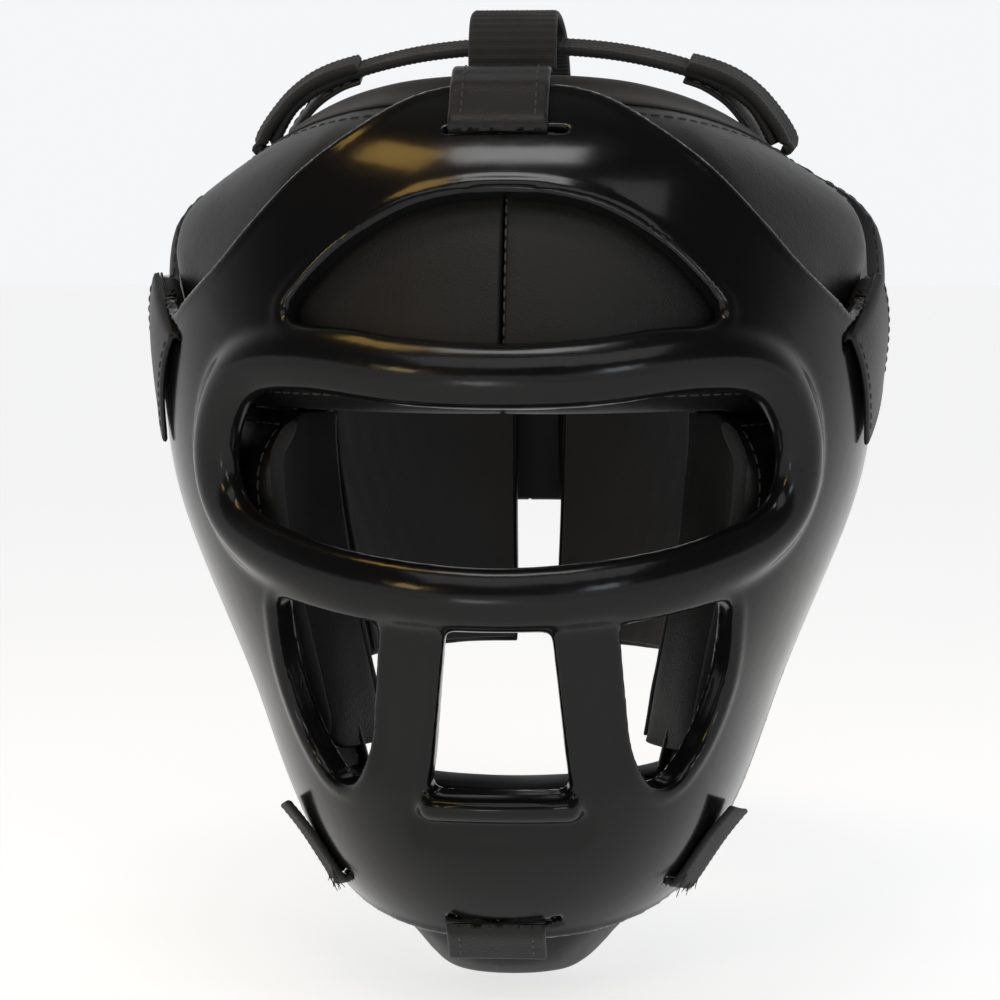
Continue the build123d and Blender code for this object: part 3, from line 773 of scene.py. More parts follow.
def block_mesh(outer, inner, walls, wrap=False):
    """Closed block between two grids of points; wrap joins the grid's first and last rows."""
    nu, nv = outer.shape[:2]
    vertices = [*outer.reshape(-1, 3), *inner.reshape(-1, 3)]
    top = np.arange(nu * nv).reshape(nu, nv)
    low = top + nu * nv
    faces = []
    for i in range(nu if wrap else nu - 1):
        k = (i + 1) % nu
        for j in range(nv - 1):
            faces.append((top[i, j], top[k, j], top[k, j + 1], top[i, j + 1]))
            faces.append((low[i, j], low[i, j + 1], low[k, j + 1], low[k, j]))
    if wrap:
        loops = [[(i, 0) for i in range(nu)], [(i, nv - 1) for i in range(nu)]]
    else:
        loops = [[(i, 0) for i in range(nu - 1)] + [(nu - 1, j) for j in range(nv - 1)]
                 + [(i, nv - 1) for i in range(nu - 1, 0, -1)] + [(0, j) for j in range(nv - 1, 0, -1)]]
    for loop in loops:
        rings = [[top[i, j] for i, j in loop]]
        for k in range(1, walls + 1):
            share = k / (walls + 1)
            ring = []
            for i, j in loop:
                ring.append(len(vertices))
                vertices.append(outer[i, j] * (1 - share) + inner[i, j] * share)
            rings.append(ring)
        rings.append([low[i, j] for i, j in loop])
        for a, b in zip(rings, rings[1:]):
            for m in range(len(loop)):
                n = (m + 1) % len(loop)
                faces.append((a[m], b[m], b[n], a[n]))
    return np.array(vertices), faces


def tidy_normals(obj):
    """All faces of a closed mesh turned outward."""
    mesh = bmesh.new()
    mesh.from_mesh(obj.data)
    bmesh.ops.recalc_face_normals(mesh, faces=mesh.faces)
    mesh.to_mesh(obj.data)
    mesh.free()
    obj.data.shade_smooth()


def panel_grid(piece, start, step):
    """Angles and levels of a panel's grid, close-set at its sewn edges."""
    length = 105.0 * (piece["end"] - start)
    share = spread(length, step, (1.0, 2.6))
    phi = start + share * (piece["end"] - start)
    height = float(piece["top"](phi[0]) - piece["bottom"](phi[0]))
    rows = spread(height, step, (1.0, 2.6))
    grid_phi = np.repeat(phi[:, None], len(rows), axis=1)
    low = piece["bottom"](grid_phi)
    return grid_phi, low + rows[None, :] * (piece["top"](grid_phi) - low)


def pad_block(name, piece, start=None, step=4.2):
    """Foam-filled panel before it is inflated."""
    phi, z = panel_grid(piece, piece["start"] if start is None else start, step)
    outer = place(panel_surface(piece, phi, z) - COVER_ALLOWANCE, phi, z)
    inner = place(head_radius(phi, z) + LINING_GAP, phi, z)
    obj = new_object(name, *block_mesh(outer, inner, 3))
    tidy_normals(obj)
    return obj


def ear_grid(piece, radius, margin=0.0):
    """Angles and levels of the ear panel, in rings from the ear hole to its edges."""
    centre = math.radians(EAR_ANGLE)
    start, end = piece["start"] + margin / radius, piece["end"] - margin / radius
    rim = []
    across = np.linspace(start, end, 20)
    for phi in across[:-1]:
        rim.append((phi, 0.0))
    for share in np.linspace(0.0, 1.0, 41)[:-1]:
        rim.append((end, share))
    for phi in across[:0:-1]:
        rim.append((phi, 1.0))
    for share in np.linspace(1.0, 0.0, 41)[:-1]:
        rim.append((start, share))
    phi = np.array([p for p, _ in rim])
    share = np.array([s for _, s in rim])
    low = piece["bottom"](phi) + margin
    z = low + share * (piece["top"](phi) - margin - low)
    half_w, half_h = EAR_WIDTH / 2 + 0.6 + margin, EAR_HEIGHT / 2 + 0.6 + margin
    turn = np.arctan2((z - EAR_LEVEL) / half_h, (phi - centre) * radius / half_w)
    hole_phi = centre + np.arcsin(half_w * np.cos(turn) / radius)
    hole_z = EAR_LEVEL + half_h * np.sin(turn)
    rings = np.array((0.0, 0.03, 0.09, 0.18, 0.28, 0.38, 0.48, 0.58, 0.68, 0.78, 0.87, 0.94, 0.98, 1.0))
    grid_phi = hole_phi[:, None] + (phi - hole_phi)[:, None] * rings
    grid_z = hole_z[:, None] + (z - hole_z)[:, None] * rings
    return grid_phi, grid_z


def ear_block(name, piece):
    """Ear pad with its hole, before it is inflated."""
    phi, z = ear_grid(piece, 112.0)
    outer = place(panel_surface(piece, phi, z) - COVER_ALLOWANCE, phi, z)
    phi, z = ear_grid(piece, 84.0)
    inner = place(head_radius(phi, z) + LINING_GAP, phi, z)
    obj = new_object(name, *block_mesh(outer, inner, 3, wrap=True))
    tidy_normals(obj)
    return obj


def read_points(mesh):
    """Vertices of a mesh in millimetres."""
    data = np.empty(len(mesh.vertices) * 3)
    mesh.vertices.foreach_get("co", data)
    return data.reshape(-1, 3) / MM


def write_points(mesh, points):
    mesh.vertices.foreach_set("co", (points * MM).ravel())
    mesh.update()


def inflate(pads):
    """Cloth with pressure on every pad at once; returns the inflated points."""
    for pad in pads:
        cloth = pad.modifiers.new("cloth", "CLOTH")
        settings = cloth.settings
        settings.quality = 5
        settings.mass = 0.3
        settings.tension_stiffness = 15.0
        settings.compression_stiffness = 15.0
        settings.shear_stiffness = 6.0
        settings.bending_stiffness = 0.8
        settings.use_pressure = True
        settings.uniform_pressure_force = 4.0
        settings.effector_weights.gravity = 0.0
        cloth.collision_settings.use_collision = False
    for step in range(1, SIM_FRAMES + 1):
        bpy.context.scene.frame_set(step)
    depsgraph = bpy.context.evaluated_depsgraph_get()
    result = [read_points(pad.evaluated_get(depsgraph).data) for pad in pads]
    for pad in pads:
        pad.modifiers.clear()
    bpy.context.scene.frame_set(1)
    return result


def outward_of(points, radius):
    """Level directions away from the upright axis."""
    return np.stack((points[:, 0] / radius, points[:, 1] / radius, np.zeros_like(radius)), axis=1)


def settle(pad, base, blown):
    """Keep the swelling outward, capped, and held down by the grill and the rear strap."""
    radius = np.maximum(np.hypot(base[:, 0], base[:, 1]), 1.0)
    out = outward_of(base, radius)
    move = blown - base
    swell = (move * out).sum(axis=1)
    side = move - out * swell[:, None]
    bare = signed_distance(front_outline(), base[:, [0, 2]])
    rear_y = np.interp(base[:, 2], [z for _, z in GRILL_REAR], [y for y, _ in GRILL_REAR])
    bare = np.maximum(bare, base[:, 1] - rear_y)
    free = smoothstep((bare + 2.0) / 14.0)
    strap = (base[:, 1] > 60.0) & (base[:, 2] > REAR_STRAP_BOTTOM - 6) & (base[:, 2] < REAR_STRAP_TOP + 6)
    limit = np.where(strap, STRAP_CAP, LEAST_SWELL + (SWELL_CAP - LEAST_SWELL) * free)
    phi = np.arctan2(base[:, 0], -base[:, 1])
    turn = np.degrees(phi)
    crest = smoothstep((turn - 45.0) / 30.0) * smoothstep((130.0 - turn) / 35.0)
    crest *= smoothstep((base[:, 2] - 176.0) / 24.0) * smoothstep((238.0 - base[:, 2]) / 20.0)
    depth = radius - head_radius(phi, base[:, 2])
    crest *= np.clip(depth / 20.0, 0.0, 1.0) * free
    inward = depth < 4.0
    swell = np.where(inward, np.clip(swell, -0.3, 0.3), np.clip(swell, -0.5, limit))
    swell = swell + TEMPLE_SWELL * crest
    length = np.maximum(np.linalg.norm(side, axis=1), 1e-6)
    side = side * (np.minimum(length, 1.2) / length)[:, None]
    side[:, 2] = np.clip(side[:, 2], -1.0, 1.6)
    write_points(pad.data, base + out * swell[:, None] + side)


def subdivide(obj):
    """Round a mesh with one level of subdivision, kept in the mesh."""
    modifier = obj.modifiers.new("round", "SUBSURF")
    modifier.levels = 1
    modifier.render_levels = 1
    depsgraph = bpy.context.evaluated_depsgraph_get()
    mesh = bpy.data.meshes.new_from_object(obj.evaluated_get(depsgraph))
    obj.modifiers.clear()
    old = obj.data
    obj.data = mesh
    bpy.data.meshes.remove(old)
    mesh.shade_smooth()


def pucker(obj, piece, start):
    """Small gathers along the sewn edges of a panel."""
    points = read_points(obj.data)
    phi = np.arctan2(points[:, 0], -points[:, 1])
    radius = np.hypot(points[:, 0], points[:, 1])
    z = points[:, 2]
    top = piece["top"](phi) - z
    bottom = z - piece["bottom"](phi)
    side = np.minimum(phi - start, piece["end"] - phi) * radius
    amount = np.zeros(len(points))
    for edge, along in ((top, phi * radius), (bottom, phi * radius), (side, z)):
        near = np.clip(1.0 - np.abs(edge - 5.0) / 9.0, 0.0, 1.0) ** 2
        wave = np.sin(along * 0.93 + 1.7 * np.sin(along * 0.21)) + 0.6 * np.sin(along * 1.71 + 0.8)
        amount += near * (0.16 * wave - 0.12)
    soft = np.array([mathutils.noise.noise(Vector(p * 0.028)) for p in points])
    inner = radius - head_radius(phi, z) < 5.0
    amount = np.where(inner, 0.0, amount + 0.55 * soft)
    write_points(obj.data, points + outward_of(points, radius) * amount[:, None])


def mirrored(obj, name):
    """Mirror image of a piece on the wearer's other side."""
    mesh = obj.data.copy()
    twin = bpy.data.objects.new(name, mesh)
    bpy.context.scene.collection.objects.link(twin)
    points = read_points(mesh)
    points[:, 0] *= -1.0
    write_points(mesh, points)
    mesh.flip_normals()
    return twin


def build_pads():
    """Every padded panel; those on the wearer's left are made first and mirrored."""
    centre = MIDDLE_SEAM / 120.0
    pads = {
        "forehead": pad_block("forehead_pad_left", PANELS["forehead"], start=centre),
        "cheek": pad_block("cheek_pad_left", PANELS["cheek"]),
        "ear": ear_block("ear_pad_left", PANELS["ear"]),
        "rear": pad_block("rear_pad_left", PANELS["rear"]),
        "chin": pad_block("chin_pad", PANELS["chin"], step=3.6),
    }
    bases = {key: read_points(pad.data) for key, pad in pads.items()}
    blown = inflate(list(pads.values()))
    for (key, pad), points in zip(pads.items(), blown):
        settle(pad, bases[key], points)
    for key, pad in pads.items():
        subdivide(pad)
        pucker(pad, PANELS[key], 0.5 if key == "forehead" else PANELS[key]["start"])
    points = read_points(pads["forehead"].data)
    points[:, 0] = np.maximum(points[:, 0], MIDDLE_SEAM)
    write_points(pads["forehead"].data, points)
    for key, pad in list(pads.items()):
        if key == "chin":
            attach(pad, "guard", "pu_leather", "chin_cover", "chin_foam")
            continue
        twin = mirrored(pad, f"{key}_pad_right")
        for piece, side in ((pad, "left"), (twin, "right")):
            nodes = [f"{key}_cover_{side}"]
            if key != "forehead":
                nodes.append(f"{key}_foam_{side}")
            elif side == "right":
                nodes.append("forehead_foam")
            attach(piece, "guard", "pu_leather", *nodes)
        pads[key + "_right"] = twin
    return pads


def lining_sheet(name, phi, z, wrap=False):
    """Brushed lining with quilted swells, just inside a pad."""
    radius = head_radius(phi, z)
    quilt = 0.5 * np.sin(phi * radius * 2 * np.pi / 26.0) ** 2 * np.sin(z * 2 * np.pi / 34.0) ** 2
    outer = place(radius + 1.25, phi, z)
    inner = place(radius + 0.15 - quilt, phi, z)
    obj = new_object(name, *block_mesh(outer, inner, 1, wrap))
    tidy_normals(obj)
    subdivide(obj)
    return obj


def inset(piece, margin):
    """A panel drawn in from its edges by a margin."""
    return {
        "start": piece["start"] + margin / 80.0, "end": piece["end"] - margin / 80.0,
        "bottom": lambda phi: piece["bottom"](phi) + margin, "top": lambda phi: piece["top"](phi) - margin,
    }


def build_linings():
    """One brushed lining sheet behind every pad."""
    for key, piece in PANELS.items():
        if key == "ear":
            phi, z = ear_grid(piece, 80.0, 1.7)
        else:
            small = inset(piece, 1.7)
            phi, z = panel_grid(small, small["start"], 4.0)
        whole = key in ("forehead", "chin")
        sheet = lining_sheet(f"{key}_lining_cloth" + ("" if whole else "_left"), phi, z, wrap=key == "ear")
        if whole:
            attach(sheet, "guard", "lining", f"{key}_lining")
            continue
        twin = mirrored(sheet, f"{key}_lining_cloth_right")
        for cloth, side in ((sheet, "left"), (twin, "right")):
            attach(cloth, "guard", "lining", f"{key}_lining_{side}")


# ------------------------------------------------------ seams, piping, stitches
ANGLE_STEP, LEVEL_STEP = 1.5, 2.5
SIDES = ((1, "left"), (-1, "right"))


class Probe:
    """Finds the outer surface of the finished pads."""

    def __init__(self, pads):
        self.trees = []
        for pad in pads:
            points = read_points(pad.data)
            polygons = [tuple(p.vertices) for p in pad.data.polygons]
            self.trees.append(BVHTree.FromPolygons([Vector(p) for p in points], polygons))

    def hit(self, origin, direction):
        """First surface met from a point along a direction: place and normal."""
        best = None
        for tree in self.trees:
            spot, normal, _, distance = tree.ray_cast(Vector(origin), Vector(direction))
            if spot is not None and (best is None or distance < best[2]):
                best = (np.array(spot), np.array(normal), distance)
        return best

    def facing(self, phi, z):
        """Outer surface straight in from an angle and level, if it is on this side."""
        out = np.array((math.sin(phi), -math.cos(phi), 0.0))
        found = self.hit(out * 250.0 + np.array((0.0, 0.0, z)), -out)
        if found is None or found[0] @ out < 60.0:
            return None
        spot, normal, _ = found
        return spot @ out, (normal if normal @ out > 0 else -normal)

    def outer(self, phi, z):
        """Outer surface at an angle in radians and a level, bridged over the seams."""
        for nudge in (0.0, 0.006, 0.012, 0.02, 0.03, 0.042, 0.056):
            near = [self.facing(phi + nudge, z), self.facing(phi - nudge, z),
                    self.facing(phi, z + 110.0 * nudge), self.facing(phi, z - 110.0 * nudge)]
            near = [found for found in near if found is not None]
            if near:
                radius = sum(found[0] for found in near) / len(near)
                normal = sum(found[1] for found in near)
                spot = np.array((math.sin(phi) * radius, -math.cos(phi) * radius, z))
                return spot, normal / np.linalg.norm(normal)
        return None

    def along(self, path):
        """Points and normals over a list of angle (degrees) and level pairs."""
        spots, normals = [], []
        for phi, z in path:
            found = self.outer(math.radians(phi), z)
            if found is not None:
                spots.append(found[0])
                normals.append(found[1])
        return np.array(spots), np.array(normals)


def merge(parts):
    """Vertex and face lists joined into one."""
    vertices, faces, start = [], [], 0
    for points, polygons in parts:
        vertices.append(points)
        faces += [tuple(i + start for i in polygon) for polygon in polygons]
        start += len(points)
    return np.concatenate(vertices), faces


def ring_faces(count, sides):
    """Faces that join rings of vertices one after another."""
    faces = []
    for i in range(count - 1):
        for k in range(sides):
            n = (k + 1) % sides
            faces.append((i * sides + k, i * sides + n, (i + 1) * sides + n, (i + 1) * sides + k))
    return faces


def tube(points, radii, sides):
    """Closed tube along points with a radius at each."""
    points = np.asarray(points, float)
    radii = np.broadcast_to(radii, len(points))
    tangent = np.gradient(points, axis=0)
    tangent /= np.maximum(np.linalg.norm(tangent, axis=1), 1e-9)[:, None]
    up = np.array((0.0, 0.0, 1.0)) if abs(tangent[0][2]) < 0.9 else np.array((1.0, 0.0, 0.0))
    rings = []
    for spot, direction, radius in zip(points, tangent, radii):
        side = np.cross(direction, up)
        side /= max(np.linalg.norm(side), 1e-9)
        up = np.cross(side, direction)
        for k in range(sides):
            turn = 2 * np.pi * k / sides
            rings.append(spot + radius * (math.cos(turn) * side + math.sin(turn) * up))
    faces = ring_faces(len(points), sides)
    last = (len(points) - 1) * sides
    faces.append(tuple(range(sides))[::-1])
    faces.append(tuple(last + k for k in range(sides)))
    return np.array(rings), faces


def resample(points, normals, pitch):
    """Even places along a path: point, direction and normal at each."""
    points = np.asarray(points, float)
    lengths = np.concatenate(([0.0], np.cumsum(np.linalg.norm(np.diff(points, axis=0), axis=1))))
    count = max(2, int(lengths[-1] / pitch))
    at = (np.arange(count) + 0.5) * lengths[-1] / count

    def read(values, where):
        return np.stack([np.interp(where, lengths, np.asarray(values)[:, k]) for k in range(3)], axis=1)

    direction = read(points, at + 0.4) - read(points, at - 0.4)
    direction /= np.maximum(np.linalg.norm(direction, axis=1), 1e-9)[:, None]
    return read(points, at), direction, read(normals, at)


# share of the stitch's length, height over the surface, share of the thread's radius
STITCH_SHAPE = (
    (-0.5, -0.3, 0.6), (-0.4, -0.04, 0.95), (-0.15, 0.07, 1.0),
    (0.15, 0.07, 1.0), (0.4, -0.04, 0.95), (0.5, -0.3, 0.6),
)


def stitches(points, normals, pitch=4.2, length=3.1, radius=0.34):
    """Rows of thread: each stitch rises from one hole and dips into the next."""
    parts = []
    for spot, direction, normal in zip(*resample(points, normals, pitch)):
        normal = normal / max(np.linalg.norm(normal), 1e-9)
        line = []
        for share, height, _ in STITCH_SHAPE:
            line.append(spot + direction * share * length + normal * height)
        parts.append(tube(line, radius * np.array([thick for _, _, thick in STITCH_SHAPE]), 6))
    return merge(parts)


def piping(name, points, normals, radius, lift, slot, *nodes):
    """Round cord covered in leather, half sunk in a seam."""
    spots, _, up = resample(points, normals, 2.0)
    spots = spots + up * lift
    end = np.linspace(0, 1, len(spots))
    taper = 0.35 + 0.65 * smoothstep(np.minimum(end, 1 - end) * len(spots) / 3.0)
    obj = new_object(name, *tube(spots, radius * taper, 10))
    return attach(obj, "guard", slot, *nodes)


def tape_over_rim(name, probe, start, end, *nodes):
    """Folded tape over the top rim of the padding between two angles in degrees."""
    rows = []
    angles = np.radians(np.arange(start, end + 0.01, 1.2))

    def reaches(drop):
        """Distance from the axis to the pads along the rim, evened out over the seams."""
        found = [probe.outer(phi, float(rim_level(phi)) - drop) for phi in angles]
        known = [k for k, spot in enumerate(found) if spot is not None]
        spans = [np.hypot(*found[k][0][:2]) for k in known]
        even = np.interp(np.arange(len(angles)), known, spans)
        padded_out = np.pad(even, 2, mode="edge")
        even = np.array([np.median(padded_out[k:k + 5]) for k in range(len(even))])
        return np.convolve(np.pad(even, 1, mode="edge"), (0.25, 0.5, 0.25), mode="valid")

    edges, lows = reaches(2.4), reaches(6.0)
    for phi, edge, low in zip(angles, edges, lows):
        rim = float(rim_level(phi))
        out = np.array((math.sin(phi), -math.cos(phi), 0.0))
        inner = float(head_radius(phi, rim)) + 1.0
        up = np.array((0.0, 0.0, 1.0))
        middle = 0.5 * (edge + inner)
        profile = (
            (low + 0.9, rim - 6.4), (low + 1.5, rim - 5.6), (edge + 1.3, rim - 2.0), (edge + 0.2, rim + 0.8),
            (edge - 3.0, rim + 1.9), (middle, rim + 2.1), (inner + 3.0, rim + 1.6), (inner, rim + 0.4),
            (inner - 0.6, rim - 3.0), (inner - 0.7, rim - 6.0), (inner + 0.4, rim - 6.2),
            (inner + 1.6, rim - 1.0), (middle, rim + 0.2), (edge - 2.6, rim - 0.6),
            (edge - 0.6, rim - 2.4), (low - 0.3, rim - 6.2),
        )
        rows.append([out * r + up * z for r, z in profile])
    rows = np.array(rows)
    count, sides = rows.shape[:2]
    faces = ring_faces(count, sides)
    faces.append(tuple(range(sides)))
    faces.append(tuple((count - 1) * sides + k for k in range(sides))[::-1])
    obj = new_object(name, rows.reshape(-1, 3), faces)
    tidy_normals(obj)
    subdivide(obj)
    return attach(obj, "guard", "binding", *nodes)


def sweep_angles(start, end, level):
    """Angle and level pairs around the head at a level or a function of the angle."""
    count = max(2, int(abs(end - start) / ANGLE_STEP))
    pairs = []
    for phi in np.linspace(start, end, count + 1):
        pairs.append((phi, float(level(math.radians(phi))) if callable(level) else level))
    return pairs


def sweep_levels(phi, low, high):
    """Angle and level pairs up the pads at one angle in degrees."""
    count = max(2, int(abs(high - low) / LEVEL_STEP))
    return [(phi, z) for z in np.linspace(low, high, count + 1)]


def ear_ring(grow):
    """Angle and level pairs around the ear hole."""
    pairs = []
    for turn in np.linspace(0, 2 * np.pi, 49):
        across = (EAR_WIDTH / 2 + grow) * math.cos(turn)
        pairs.append((EAR_ANGLE + math.degrees(math.asin(across / 112.0)),
                      EAR_LEVEL + (EAR_HEIGHT / 2 + grow) * math.sin(turn)))
    return pairs


def build_seams(probe):
    """Rim tape, piping and stitch rows of the padding."""
    for side, name in SIDES:
        tape_over_rim(f"side_rim_binding_{name}", probe, *sorted((side * 83.2, side * 174.0)))
        cords = (
            ("ear_front", sweep_levels(side * (FOREHEAD_EDGE + 0.2), 72.0, 232.0), 1.5, -0.6),
            ("ear_rear", sweep_levels(side * SIDE_REAR_EDGE, 82.0, 226.0), 1.5, -0.6),
            ("brow", sweep_angles(side * 36.5, side * 80.5, FOREHEAD_BOTTOM - 0.5), 1.3, -0.8),
            ("ear_hole", ear_ring(3.2), 1.5, -0.3),
        )
        for cord, path, radius, lift in cords:
            piping(f"{cord}_piping_{name}", *probe.along(path), radius, lift, "pu_leather")

        rows = [
            sweep_levels(side * 38.0, 66.0, 157.0), sweep_levels(side * (FOREHEAD_EDGE - 3.0), 70.0, 158.0),
            sweep_levels(side * (FOREHEAD_EDGE - 3.0), 168.0, 230.0),
            sweep_levels(side * (FOREHEAD_EDGE + 3.4), 70.0, 231.0),
            sweep_levels(side * (SIDE_REAR_EDGE - 3.2), 80.0, 224.0),
            sweep_levels(side * (SIDE_REAR_EDGE + 3.2), 80.0, 224.0),
            sweep_levels(side * (REAR_INNER_EDGE - 3.0), 77.0, 116.0),
            sweep_levels(side * (REAR_INNER_EDGE - 3.0), 174.0, 214.0),
            sweep_angles(side * 38.0, side * 79.0, 158.0), sweep_angles(side * 4.0, side * 79.0, 168.0),
            sweep_angles(side * 38.0, side * 79.0, lambda phi: side_bottom(phi) + 5.0),
            sweep_angles(side * 85.0, side * 122.0, lambda phi: side_bottom(phi) + 5.0),
            sweep_angles(side * 128.0, side * 172.0, REAR_BOTTOM + 5.0),
            sweep_angles(side * 16.0, side * 80.0, lambda phi: rim_level(phi) - 9.0),
            sweep_angles(side * 85.0, side * 122.0, lambda phi: rim_level(phi) - 9.5),
            sweep_angles(side * 128.0, side * 172.0, lambda phi: rim_level(phi) - 9.5),
            ear_ring(7.5),
        ]
        thread = [stitches(*probe.along(row)) for row in rows]
        attach(new_object(f"guard_stitching_{name}", *merge(thread)), "guard", "binding", finish=THREAD)
    centre = [(0.35, z) for z in np.arange(167.0, 250.0, 2.0)]
    attach(new_object("forehead_seam_stitching", *stitches(*probe.along(centre), pitch=3.6, length=2.6)),
           "guard", "binding", finish=THREAD)
    tape_over_rim("forehead_rim_binding", probe, -FOREHEAD_EDGE + 0.4, FOREHEAD_EDGE - 0.4,
                  "forehead_top_binding")


# ---------------------------------------------------------------------- straps
def smooth_path(points, per_span):
    return round_loop(points, per_span, closed=False)


def strap_band(path, outward, width, thickness, step=1.2, rows=14, ribs=None, hug=False):
    """Flat strap swept along a path: points, faces and a reader of its top surface.

    ribs(length, across) is the height added to each face of the strap; hug lays it on the grill."""
    path = np.asarray(path, float)
    spans = np.linalg.norm(np.diff(path, axis=0), axis=1)
    per_span = max(3, int(math.ceil(spans.max() / step)))
    points = smooth_path(path, per_span)
    normals = smooth_path(np.asarray(outward, float), per_span)
    lengths = np.concatenate(([0.0], np.cumsum(np.linalg.norm(np.diff(points, axis=0), axis=1))))
    count = max(4, int(lengths[-1] / step))
    at = np.linspace(0.0, lengths[-1], count + 1)
    at = np.sort(np.concatenate((at, (0.25, 0.7, lengths[-1] - 0.7, lengths[-1] - 0.25))))

    def read(values):
        return np.stack([np.interp(at, lengths, values[:, k]) for k in range(3)], axis=1)

    points, normals = read(points), read(normals)
    tangent = np.gradient(points, at, axis=0)
    tangent /= np.linalg.norm(tangent, axis=1)[:, None]
    normals -= tangent * (normals * tangent).sum(axis=1)[:, None]
    normals /= np.linalg.norm(normals, axis=1)[:, None]
    across = np.cross(tangent, normals)
    half = width / 2
    soft = min(0.8 * thickness, 1.2)
    v = np.concatenate(([-half, -half + 0.15 * soft, -half + 0.5 * soft],
                        np.linspace(-half + soft, half - soft, rows),
                        [half - 0.5 * soft, half - 0.15 * soft, half]))
    from_side = np.clip((half - np.abs(v)) / soft, 0.0, 1.0)
    from_end = np.clip(np.minimum(at, at[-1] - at) / 0.7, 0.0, 1.0)
    round_side = np.sqrt(1 - (1 - from_side) ** 2)
    round_end = np.sqrt(1 - (1 - from_end) ** 2)
    height = thickness / 2 * np.maximum(np.minimum(round_side[None, :], round_end[:, None]), 0.12)
    if ribs is not None:
        height = height + ribs(at[:, None], v[None, :]) * from_side[None, :] * from_end[:, None]
    base = points[:, None, :] + across[:, None, :] * v[None, :, None]
    up = np.broadcast_to(normals[:, None, :], base.shape)
    if hug:
        level = np.repeat(shell_distance(points)[0], len(v))
        on, facing = onto_shell(base.reshape(-1, 3), level)
        share = smoothstep((at - 1.5) / 3.0)[:, None, None]
        base = base + (on.reshape(base.shape) - base) * share
        up = up + (facing.reshape(base.shape) - up) * share
        up = up / np.linalg.norm(up, axis=2)[:, :, None]
    top = base + up * height[:, :, None]
    low = base - up * height[:, :, None]
    geometry = block_mesh(top, low, 0)

    def on_top(at_v, start, end):
        """Path over the strap's top face at one place across it."""
        keep = (at > start) & (at < at[-1] - end)
        k = int(np.argmin(np.abs(v - at_v)))
        return top[keep, k], up[keep, k]

    return geometry, on_top


def lengthwise(count, width, depth):
    """Ribs along a strap, with a fine weave across them."""
    def height(s, v):
        return (depth * np.abs(np.sin(np.pi * count * (v / width + 0.5)))
                + 0.12 * np.sin(2 * np.pi * s / 1.7))
    return height


def crosswise(pitch, depth):
    """Ribs across a strap, with a fine weave along them."""
    def height(s, v):
        return (depth * (0.5 + 0.5 * np.sin(2 * np.pi * s / pitch))
                + 0.05 * np.sin(2 * np.pi * v / 1.5))
    return height


def strap_piece(name, body, slot, nodes, path, outward, width, thickness, stitched=(), ends=(2.0, 2.0),
                **shape):
    """One strap as one piece, with the rows of stitches along it as a second piece."""
    geometry, on_top = strap_band(path, outward, width, thickness, **shape)
    obj = new_object(name, *geometry)
    tidy_normals(obj)
    attach(obj, body, slot, *nodes)
    if stitched:
        rows = [stitches(*on_top(v, *ends), pitch=3.4, length=2.5, radius=0.28) for v in stitched]
        thread = new_object(name + "_stitching", *merge(rows))
        attach(thread, body, slot, finish=THREAD)
    return obj


def local_path(joint_name, stations):
    """Path points and outward directions from (along, height) stations at a strap's slot."""
    spot, run, _, normal = strap_frame(joint_name)
    spot = spot - run * 0.5
    points, outward = [], []
    for along, height in stations:
        if along <= 0.5:
            points.append(spot + run * along + normal * height)
            outward.append(normal if height > -1 else run * 0.6 + normal * 0.8)
            continue
        on, up = onto_shell([spot + run * along], height)
        points.append(on[0])
        outward.append(up[0])
    return points, outward


def under_path(joint_name, reach_in):
    """Path of a strap's fixed end, from its slot along the grill's inner face."""
    spot, run, _, normal = strap_frame(joint_name)
    spot = spot + run * SLOT_SHIFT
    depth = WALL + 2.3
    points = [spot - normal * 1.6, spot - normal * 3.4, spot - normal * (depth - 0.8) + run * 0.5,
              spot - normal * depth + run * 2.4]
    outward = [-run, -run, -run - normal, -normal]
    for along in (5.0, reach_in):
        on, up = onto_shell([spot + run * along], -depth)
        points.append(on[0])
        outward.append(-up[0])
    return points, outward


TAB_SHIFT = np.array((-2.3, 0.0, 0.0))
# (along, height) stations of the straps at their slots
TOP_TAB = ((0.2, -1.8), (-0.2, 0.1), (0.3, 1.6), (3.0, 2.2), (8.0, 1.9), (13.0, 1.7), (17.0, 1.7))
CHIN_TAB = ((0.2, -1.8), (0.0, 0.0), (0.5, 1.5), (3.0, 2.1), (7.0, 2.0), (11.0, 1.9), (14.5, 1.8))
TEMPLE_STRAP = (
    (0.0, -1.8), (0.0, -0.4), (0.8, 1.2), (4.0, 1.9), (10.0, 2.3), (18.0, 2.3), (26.0, 2.0), (33.0, 1.7),
    (38.0, 1.7),
)
JAW_STRAP = (
    (0.0, -1.8), (0.0, -0.4), (0.8, 1.4), (4.0, 1.9), (10.0, 1.8), (17.0, 2.2), (23.0, 3.2), (29.0, 4.8),
)
# end of the top tab over the grill's rim: y, z and the outward direction's y, z
OVER_RIM = (
    (-86.3, 258.6, -0.7, 0.7), (-83.2, 260.4, -0.4, 0.9), (-79.0, 261.2, -0.1, 1.0), (-74.0, 260.8, 0.1, 1.0),
)
